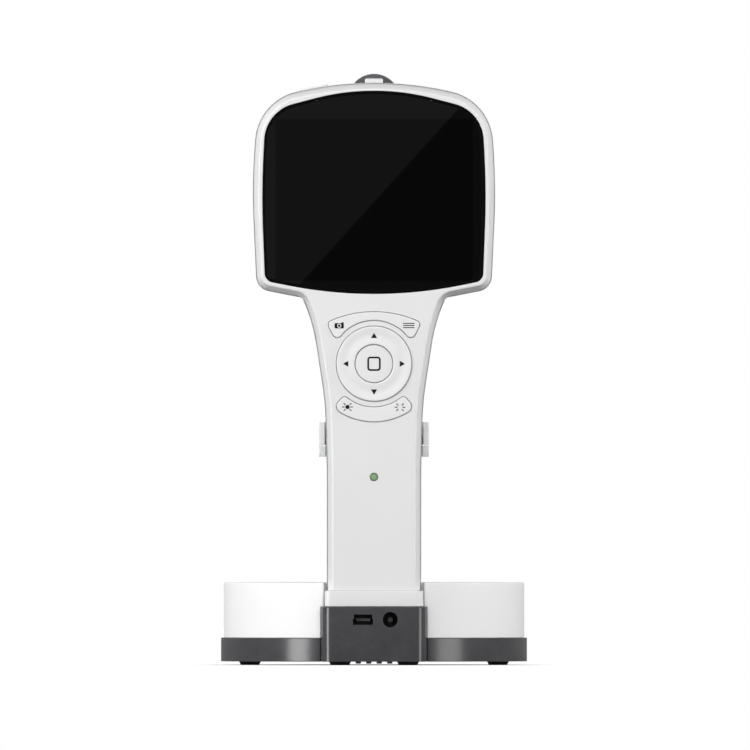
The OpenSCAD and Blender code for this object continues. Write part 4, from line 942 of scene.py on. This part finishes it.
roofIn = towerHigh[2] - tower["roof"]
towerRings = [inner] + [insetLoop(towerLoop, d) for d, _ in towerProfile]
towerHeights = [towerLow[2]] + [t for _, t in towerProfile]
# The flat of the front is left out of both walls, and a panel with the openings fills it
onFront = np.abs(towerLoop[:, 1] - towerLow[1]) < 1e-6
frontColumn = onFront & np.roll(onFront, -1)
frontColumn &= np.abs(np.roll(towerLoop, -1, axis=0)[:, 0] - towerLoop[:, 0]) > 5
wallRow = int(np.argmax(np.diff(towerHeights)))
mask = np.ones((len(towerRings) - 1, len(towerLoop)), bool)
mask[wallRow, frontColumn] = False
flatHalf = towerHigh[0] - tower["corner"]


def frontPanel(z0, z1, y, loops):  # upright flat panel with openings
    border = np.array([(-flatHalf, z1), (flatHalf, z1), (flatHalf, z0), (-flatHalf, z0)])
    return fillLoops([border] + loops, alongY, y)


portEdge, portRing = tower["portEdge"], -1.5 * tower["portEdge"]
portPath = [(portRing, 0), (-portEdge, 0)] + [
    (portEdge * (math.sin(a) - 1), portEdge * (1 - math.cos(a))) for a in np.radians((30, 60, 90))
] + [(0, tower["wall"])]
wellLoop = boxLoop(*tower["well"], pinMiddle, 3)
makePiece("dock_tower_moulding", [
    skinLoops(stacked(towerRings, towerHeights, alongZ), mask=mask),
    skinLoops(stacked([inner, inner], [towerLow[2], roofIn], alongZ), mask=~frontColumn[None, :]),
    frontPanel(towerHeights[wallRow], towerHeights[wallRow + 1], towerLow[1],
               [insetLoop(p, portRing) for p in portLoops]),
    frontPanel(towerLow[2], roofIn, towerLow[1] + tower["wall"], portLoops),
    fillLoops([towerRings[-1], wellLoop], alongZ, towerHigh[2]),
    fillLoops([inner, wellLoop], alongZ, roofIn),
    skinLoops(stacked([wellLoop, wellLoop], [towerHigh[2], roofIn], alongZ))]
    + [rimSkin(loop, portPath, towerLow[1]) for loop in portLoops], graphite, "dock", ["dock_tower"])

feet = {"side": 4.4, "toe": 3.7, "edge": 0.35, "sunk": 0.02, "spots": [
    (-13.6, -58.0), (13.6, -58.0), (-13.6, skirtR - 9), (13.6, skirtR - 9),
    (11.6 - skirtR, 0.0), (skirtR - 11.6, 0.0)]}
footTop = skirtBottom + feet["sunk"]
footProfile = openPath([(0, 0), (feet["toe"], 0, feet["edge"], 5), (feet["side"], footTop), (0, footTop)])
makePiece("dock_rubber_feet", [turn(footProfile, (x, y, 0), 48, alongZ) for x, y in feet["spots"]],
          feetRubber, "dock", ["dock_feet"])
print("dock ready")

# Keys, lamp and their printing

face = {"dish": 0.34, "rim": 0.7, "ringFrom": 8.3, "ringTo": 14.5, "ringIn": 0.45, "ringOut": 0.4,
        "ringLap": 0.9, "flange": (2.9, 3.7)}


# Front of the navigation ring: its depth is -rim + dish * sin^2(pi s), where s runs from 0
# to 1 between the inner and the outer edge
def ringDepth(r):
    s = np.clip((r - face["ringFrom"]) / (face["ringTo"] - face["ringFrom"]), 0, 1)
    return -face["rim"] + face["dish"] * np.sin(math.pi * s) ** 2


ringIn, ringOut = nav["inner"] + nav["gap"], nav["outer"]
ringLap, ringTop = ringOut + face["ringLap"], -face["rim"]
flangeFront, flangeBack = face["flange"]
ringRun = np.linspace(face["ringFrom"], face["ringTo"], 26)
ringProfile = np.concatenate([
    openPath([(ringIn, flangeBack), (ringIn, ringTop, face["ringIn"], 6), (face["ringFrom"], ringTop)]),
    np.stack([ringRun, ringDepth(ringRun)], axis=1)[1:-1],
    openPath([(face["ringTo"], ringTop), (ringOut, ringTop, face["ringOut"], 6), (ringOut, flangeFront),
              (ringLap, flangeFront), (ringLap, flangeBack), (ringIn, flangeBack)])])
makePiece("navigation_ring_cap", [turn(ringProfile, (0, faceY, navZ), 144)], keyWhite, "nav_ring",
          ["nav_ring"])

okKey = {"crown": (0.06, (4, 0.03)), "edge": 0.4, "lap": 1.2, "flange": (4.1, 4.9), "stem": (1.5, 6.2)}
proud = nav["keyProud"]
crownRise, (midR, midRise) = okKey["crown"]
okR, (okFront, okBack), (stemR, stemEnd) = nav["inner"], okKey["flange"], okKey["stem"]
okLap = okR + okKey["lap"]
okProfile = openPath([(0, -proud + crownRise), (midR, -proud + midRise), (okR, -proud, okKey["edge"], 6),
                      (okR, okFront), (okLap, okFront), (okLap, okBack), (stemR, okBack),
                      (stemR, stemEnd), (0, stemEnd)])
makePiece("confirm_key_cap", [turn(okProfile, (0, faceY, navZ))], keyWhite, "ok_key", ["ok_key"])

softKey = {"edge": 0.4, "ring": 0.45, "lap": 0.75, "stemR": 1.3, "stemSunk": 0.3, "stemEnd": 6.1,
           "captureStems": (14, 14.6), "lightStems": (11.6, -15.4)}
keyEdge = openPath([(softKey["ring"], -proud), (0, -proud, softKey["edge"], 6), (0, flangeFront)])
for label, loop, (stemX, stemZ) in (("capture_menu_key", captureLoop, softKey["captureStems"]),
                                    ("light_key", lightLoop, softKey["lightStems"])):
    lapLoop = insetLoop(loop, -softKey["lap"])
    makePiece(label + "_cap", [
        rimSkin(loop, keyEdge), fillLoops([insetLoop(loop, softKey["ring"])], alongY, faceY - proud),
        fillLoops([lapLoop, loop], alongY, faceY + flangeFront),
        rimSkin(lapLoop, [(0, flangeFront), (0, flangeBack)]),
        fillLoops([lapLoop], alongY, faceY + flangeBack)]
        + [plug(softKey["stemR"], flangeBack - softKey["stemSunk"], softKey["stemEnd"],
                (s * stemX, faceY, navZ + stemZ)) for s in (-1, 1)], keyWhite, label, [label])

# Printed symbols: where each stands from the ring's middle, and its sizes
symbol = {"film": (-0.03, 0.2), "arrowAt": 11.15, "arrow": 2.45, "arrowWidth": 1.14,
          "arrowSunk": 0.06, "square": (5.35, 5.7, 1.2), "stroke": 0.7, "squareSunk": 0.02,
          "camera": (-13.9, 15.3), "lens": (0.85, 0.5, 0.1), "list": (13.9, 15.3),
          "line": (4.6, 0.36, 0.1), "lines": (-0.85, 0, 0.85), "sunOn": (-10.6, -17.3), "sun": 0.85,
          "sunOff": (10.4, -17.4), "ray": (0.36, 0.1), "bright": (1.15, 2.2), "dim": (0.98, 2.12),
          "cameraBody": [(-1.85, 0.95, 0.3, 3), (0.9, 0.95, 0.2, 3), (1.15, 1.3, 0.15, 3),
                   (1.75, 1.35, 0.15, 3), (1.85, -1.15, 0.3, 3), (-1.85, -1.15, 0.3, 3)]}


def printed(name, shapes, depth, body):  # printed symbol: a thin raised film on the key's face
    levels, parts = [faceY + depth + t for t in symbol["film"]], []
    for loops in shapes:
        parts += [skinLoops(stacked([loop, loop], levels, alongY)) for loop in loops]
        parts += [fillLoops(loops, alongY, level) for level in levels]
    makePiece(name, parts, printInk, body)


def placed(loop, x=0.0, z=0.0, angle=0.0):  # turned about its origin, then set beside the ring's middle
    c, s = math.cos(angle), math.sin(angle)
    return loop @ np.array([[c, -s], [s, c]]) + [x, navZ + z]


arrow = np.array([(0, 1), (symbol["arrowWidth"], -1), (-symbol["arrowWidth"], -1)])
arrow = arrow * symbol["arrow"] / 2 + [0, symbol["arrowAt"]]
printed("navigation_arrows_print", [[placed(arrow, angle=t)] for t in np.radians((0, 90, 180, 270))],
        float(ringDepth(np.array(symbol["arrowAt"]))) - symbol["arrowSunk"], "nav_ring")
square = boxLoop(*symbol["square"], count=6)
printed("confirm_square_print", [[placed(square), placed(insetLoop(square, symbol["stroke"]))]],
        -proud + symbol["squareSunk"], "ok_key")
x, z = symbol["camera"]
lensR, pupilR, lensDrop = symbol["lens"]
printed("capture_symbol_print", [[placed(roundedLoop(symbol["cameraBody"]), x, z)]
                                 + [circleLoop(r, (x, navZ + z - lensDrop), 32) for r in (lensR, pupilR)]],
        -proud, "capture_menu_key")
printed("list_symbol_print", [[placed(boxLoop(*symbol["line"], (0, t), 2), *symbol["list"])]
                              for t in symbol["lines"]], -proud, "capture_menu_key")


def sunRays(spot, span):  # six rays round a spot, the ones above and below left out
    start, stop = span
    ray = boxLoop(stop - start, *symbol["ray"], ((stop + start) / 2, 0), 2)
    return [[placed(ray, *spot, -t)] for t in np.radians((0, 45, 135, 180, 225, 315))]


x, z = symbol["sunOn"]
printed("bright_symbol_print", sunRays((x, z), symbol["bright"])
        + [[circleLoop(symbol["sun"], (x, navZ + z), 32)]], -proud, "light_key")
printed("dim_symbol_print", sunRays(symbol["sunOff"], symbol["dim"]), -proud, "light_key")

pipe = {"crown": 0.1, "rim": 0.02, "edge": 0.25, "lap": (2.6, 2.4, 3.2), "end": 7.1, "core": 0.8,
        "glow": 1.4, "middle": "#86aa7b", "outside": "#677d60"}
pipeR, (lapR, lapFrom, lapTo) = nav["lampR"], pipe["lap"]
pipeProfile = openPath([(0, -pipe["crown"]), (pipeR, -pipe["rim"], pipe["edge"], 4), (pipeR, lapFrom),
                        (lapR, lapFrom), (lapR, lapTo), (pipeR, lapTo), (pipeR, pipe["end"]),
                        (0, pipe["end"])])
makePiece("status_light_pipe", [turn(pipeProfile, (0, faceY, lampZ), 64)],
          lampFinish(pipe, (0, 0, lampZ)), "handset", ["status_lamp"])

stemFoot = -wall - powerKey["stem"]
crownEdge = openPath([(0, stemFoot), (0, powerKey["proud"], powerKey["edge"], 6),
                      (powerKey["edge"] + ledge, powerKey["proud"])])
skirtEnds = [(0, -wall - powerKey["skirtFrom"]), (0, -wall - powerKey["skirtTo"])]
keySkirt = prism(powerPlan(powerKey["skirt"]), skirtEnds, alongZ)
makePiece("power_key_cap", [onCrown(merged(prism(powerPlan(), crownEdge, alongZ) + keySkirt))],
          keyWhite, "power_key", ["power_key"])
print("keys ready")

# Trigger and finger rest

saddle = {"front": 28.5, "tip": 0.5, "inner": 0.4, "back": 12.0, "edge": 0.25, "rear": 3.5,
          "triggerWall": 2.3, "restWall": 2.65}
plunger = {"rod": [(0, 36), (2.0, 36), (2.2, 36.3), (2.2, 47.6), (0, 47.6)],
           "springSeat": [(2.35, 44.8), (4.1, 44.8), (4.1, 48), (2.35, 48), (2.35, 44.8)]}


# Saddle that wraps the back of the grip: three sides round a U-shaped opening
def saddlePiece(name, node, look, body, side):
    low, high = nodeBox(node)
    back, tip, edge = saddle["back"], saddle["tip"], saddle["edge"]
    half, front, behind = high[0], faceY + saddle["front"], high[1]
    inHalf, inBehind = half - side, behind - saddle["rear"]
    outside = [(-half, front, tip, 5), (-half, behind, back, 20), (half, behind, back, 20),
               (half, front, tip, 5)]
    inside = [(inHalf, front, saddle["inner"], 5), (inHalf, inBehind, back, 20),
              (-inHalf, inBehind, back, 20), (-inHalf, front, saddle["inner"], 5)]
    rounding = openPath([(edge + fineLedge, low[2]), (0, low[2], edge, 6), (0, high[2], edge, 6),
                         (edge + fineLedge, high[2])])
    return makePiece(name, prism(roundedLoop(outside + inside), rounding, alongZ), look, body, [node])


rodAt = (0, faceY, triggerZ)
triggerLever = saddlePiece("trigger_lever", "trigger", whiteAbs, "trigger", saddle["triggerWall"])
cutOut(triggerLever, [turn(plunger["springSeat"], rodAt, 48)])
makePiece("trigger_plunger", [turn(plunger["rod"], rodAt, 48)], whiteAbs, "trigger", ["trigger"])
# The finger rest takes the white ABS painted a shade darker, as painted shade beside the grip
saddlePiece("finger_rest_moulding", "finger_rest", whiteAbsPaintedShade, "handset", saddle["restWall"])
print("trigger ready")

# Forehead rest and nose

arm = {"half": 3.6, "edge": 0.7, "tongue": 1.0, "turn": 3.0, "height": 4.0, "heel": 1.2, "toe": 0.9,
       "hook": 2, "tongueR": 0.2, "stop": 2}
rail = {"clear": 0.3, "lip": 0.8, "floor": 1.4, "foot": 0.2, "top": 0.3, "mouth": 0.2, "groove": 0.1,
        "edge": 0.08}
armLow, armHigh = nodeBox("forehead_arm")
padLow, padHigh = nodeBox("forehead_pad")
padZ = (padLow[2] + padHigh[2]) / 2
armTop, armZ = armHigh[2], armHigh[2] - arm["height"]
railTop, slotHalf = railHigh[2], arm["half"] + rail["clear"]
innerHalf = slotHalf + arm["tongue"]
lipZ, floorZ = railTop - rail["lip"], railLow[2] + rail["floor"]
railHalf = [(railLow[0], railLow[2], rail["foot"], 2), (railLow[0], railTop, rail["top"], 4),
            (-slotHalf, railTop, rail["mouth"], 3), (-slotHalf, lipZ, rail["groove"], 2),
            (-innerHalf, lipZ, rail["groove"], 2), (-innerHalf, floorZ, rail["groove"], 2)]
railLoop = roundedLoop(railHalf + [(-x, z, r, n) for x, z, r, n in railHalf[::-1]])
railEnds = [(rail["edge"], railLow[1]), (0, railLow[1] + rail["edge"]),
            (0, railHigh[1] - rail["edge"]), (rail["edge"], railHigh[1])]
makePiece("forehead_rail_moulding", prism(railLoop, railEnds, alongY), whiteAbs, "handset",
          ["forehead_rail"])

armBack, armFront, armHalf = armLow[1], armHigh[1], arm["half"]
armHook, armFlat = armFront - arm["hook"], arm["edge"] + fineLedge
armLoop = roundedLoop([(armBack, armZ, arm["toe"], 4), (armBack, armTop, arm["heel"], 6),
                       (armFront, armTop, arm["turn"], 12), (armFront, padZ, arm["toe"], 4),
                       (armHook, padZ, arm["toe"], 4), (armHook, armZ, arm["heel"], 6)])
armEdge = openPath([(armFlat, -armHalf), (0, -armHalf, arm["edge"], 6), (0, armHalf, arm["edge"], 6),
                    (armFlat, armHalf)])
tongueLoop = boxLoop(2 * (armHalf + arm["tongue"]), arm["tongue"], arm["tongueR"],
                     (0, armZ + arm["tongue"] / 2), 3)
makePiece("forehead_arm_moulding", prism(armLoop, armEdge, alongX)
          + prism(tongueLoop, [(0, armBack), (0, railHigh[1] - arm["stop"])], alongY), whiteAbs,
          "forehead_rest", ["forehead_arm"])

pad = {"seatIn": 1.5, "seat": 1.9, "rimIn": 3.2, "dishIn": 5, "lipDrop": 0.35, "dishR": 6, "dish": 0.7}
padR, padEnd = padHigh[0], padHigh[1]
seatR, seatY = padR - pad["seatIn"], padLow[1] + pad["seat"]
padProfile = openPath([(0, padLow[1]), (seatR, padLow[1], 0.6, 6), (seatR, seatY, 0.3, 3),
                       (padR, seatY, 0.5, 4), (padR, padEnd, 2.9, 14), (padR - pad["rimIn"], padEnd),
                       (padR - pad["dishIn"], padEnd - pad["lipDrop"], pad["dishR"], 6),
                       (0, padEnd - pad["dish"])])
makePiece("forehead_pad_moulding", [turn(padProfile, (0, 0, padZ), 128)], padSilicone,
          "forehead_rest", ["forehead_pad"])

bezel = {"plate": 2.8, "ring": 17.5, "ringFoot": 0.4, "recess": 15.1, "hole": 14.0, "step": 1.0,
         "edge": 0.6, "gap": 0.1, "fillet": 0.35, "outside": 0.8, "inside": 0.5}
bezelLow, bezelHigh = nodeBox("nose_bezel")
bezelBack, bezelFront = bezelLow[1], bezelHigh[1]
windowMid = footZ + windowZ
bezelLoop = insetLoop(noseLoop, wall + bezel["gap"])
plateFront, stepY = bezelBack + bezel["plate"], bezelBack + bezel["step"]
bezelFlat, ringFoot = bezel["edge"] + fineLedge, bezel["ring"] + bezel["ringFoot"]
plateEdge = openPath([(0, bezelBack), (0, plateFront, bezel["edge"], 6), (bezelFlat, plateFront)])
ringEdge = openPath([(ringFoot, plateFront), (bezel["ring"], plateFront, bezel["fillet"], 4),
                     (bezel["ring"], bezelFront, bezel["outside"], 8),
                     (bezel["recess"], bezelFront, bezel["inside"], 5), (bezel["recess"], stepY),
                     (bezel["hole"], stepY), (bezel["hole"], bezelBack)])
makePiece("nose_bezel_moulding", [
    rimSkin(bezelLoop, plateEdge, 0),
    fillLoops([insetLoop(bezelLoop, bezelFlat), circleLoop(ringFoot, (0, windowMid), 128)], alongY,
              plateFront),
    turn(ringEdge, (0, 0, windowMid), 128),
    fillLoops([bezelLoop, circleLoop(bezel["hole"], (0, windowMid), 128)], alongY, bezelBack)],
    blackAbs, "handset", ["nose_bezel"])
windowLow, windowHigh = nodeBox("measuring_window")
paneBack, paneFront, paneR, paneEdge = windowLow[1], windowHigh[1], windowHigh[0], 0.2
makePiece("measuring_window_pane", [turn(openPath([
    (0, paneBack), (paneR, paneBack, paneEdge, 3), (paneR, paneFront, paneEdge, 3), (0, paneFront)]),
    (0, 0, windowMid), 128)], windowGlass, "handset", ["measuring_window"])
print("forehead rest and nose ready")

# Finishes of the CAD nodes that stay as they are

kept = {
    zincSteel: ["ballast_plate", "dock_screws", "shell_screws", "trigger_spring"],
    socketGrey: ["data_socket", "power_socket"],
    blackAbs: ["contact_carrier", "battery_holder", "lcd_bracket", "trigger_switch", "lens_barrel"],
    goldPlate: ["contact_pins", "foot_contacts"], cellSleeve: ["battery_pack"],
    boardGreen: ["dock_board", "main_board", "key_board", "ring_light_board", "camera_module"],
    lensGlass: ["objective_lens", "beam_splitter"], groundSteel: ["guide_rods", "lead_screw"],
    anodised: ["optical_bench", "focus_carriage", "infrared_source", "stepper_motor", "lcd_panel"],
    # the rocker takes the finger rest's white ABS, painted a shade darker
    whiteAbsPaintedShade: ["nav_rocker"]}
for look, nodes in kept.items():
    for node in nodes:
        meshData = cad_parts[node].data
        meshData.materials.clear()
        meshData.materials.append(look)
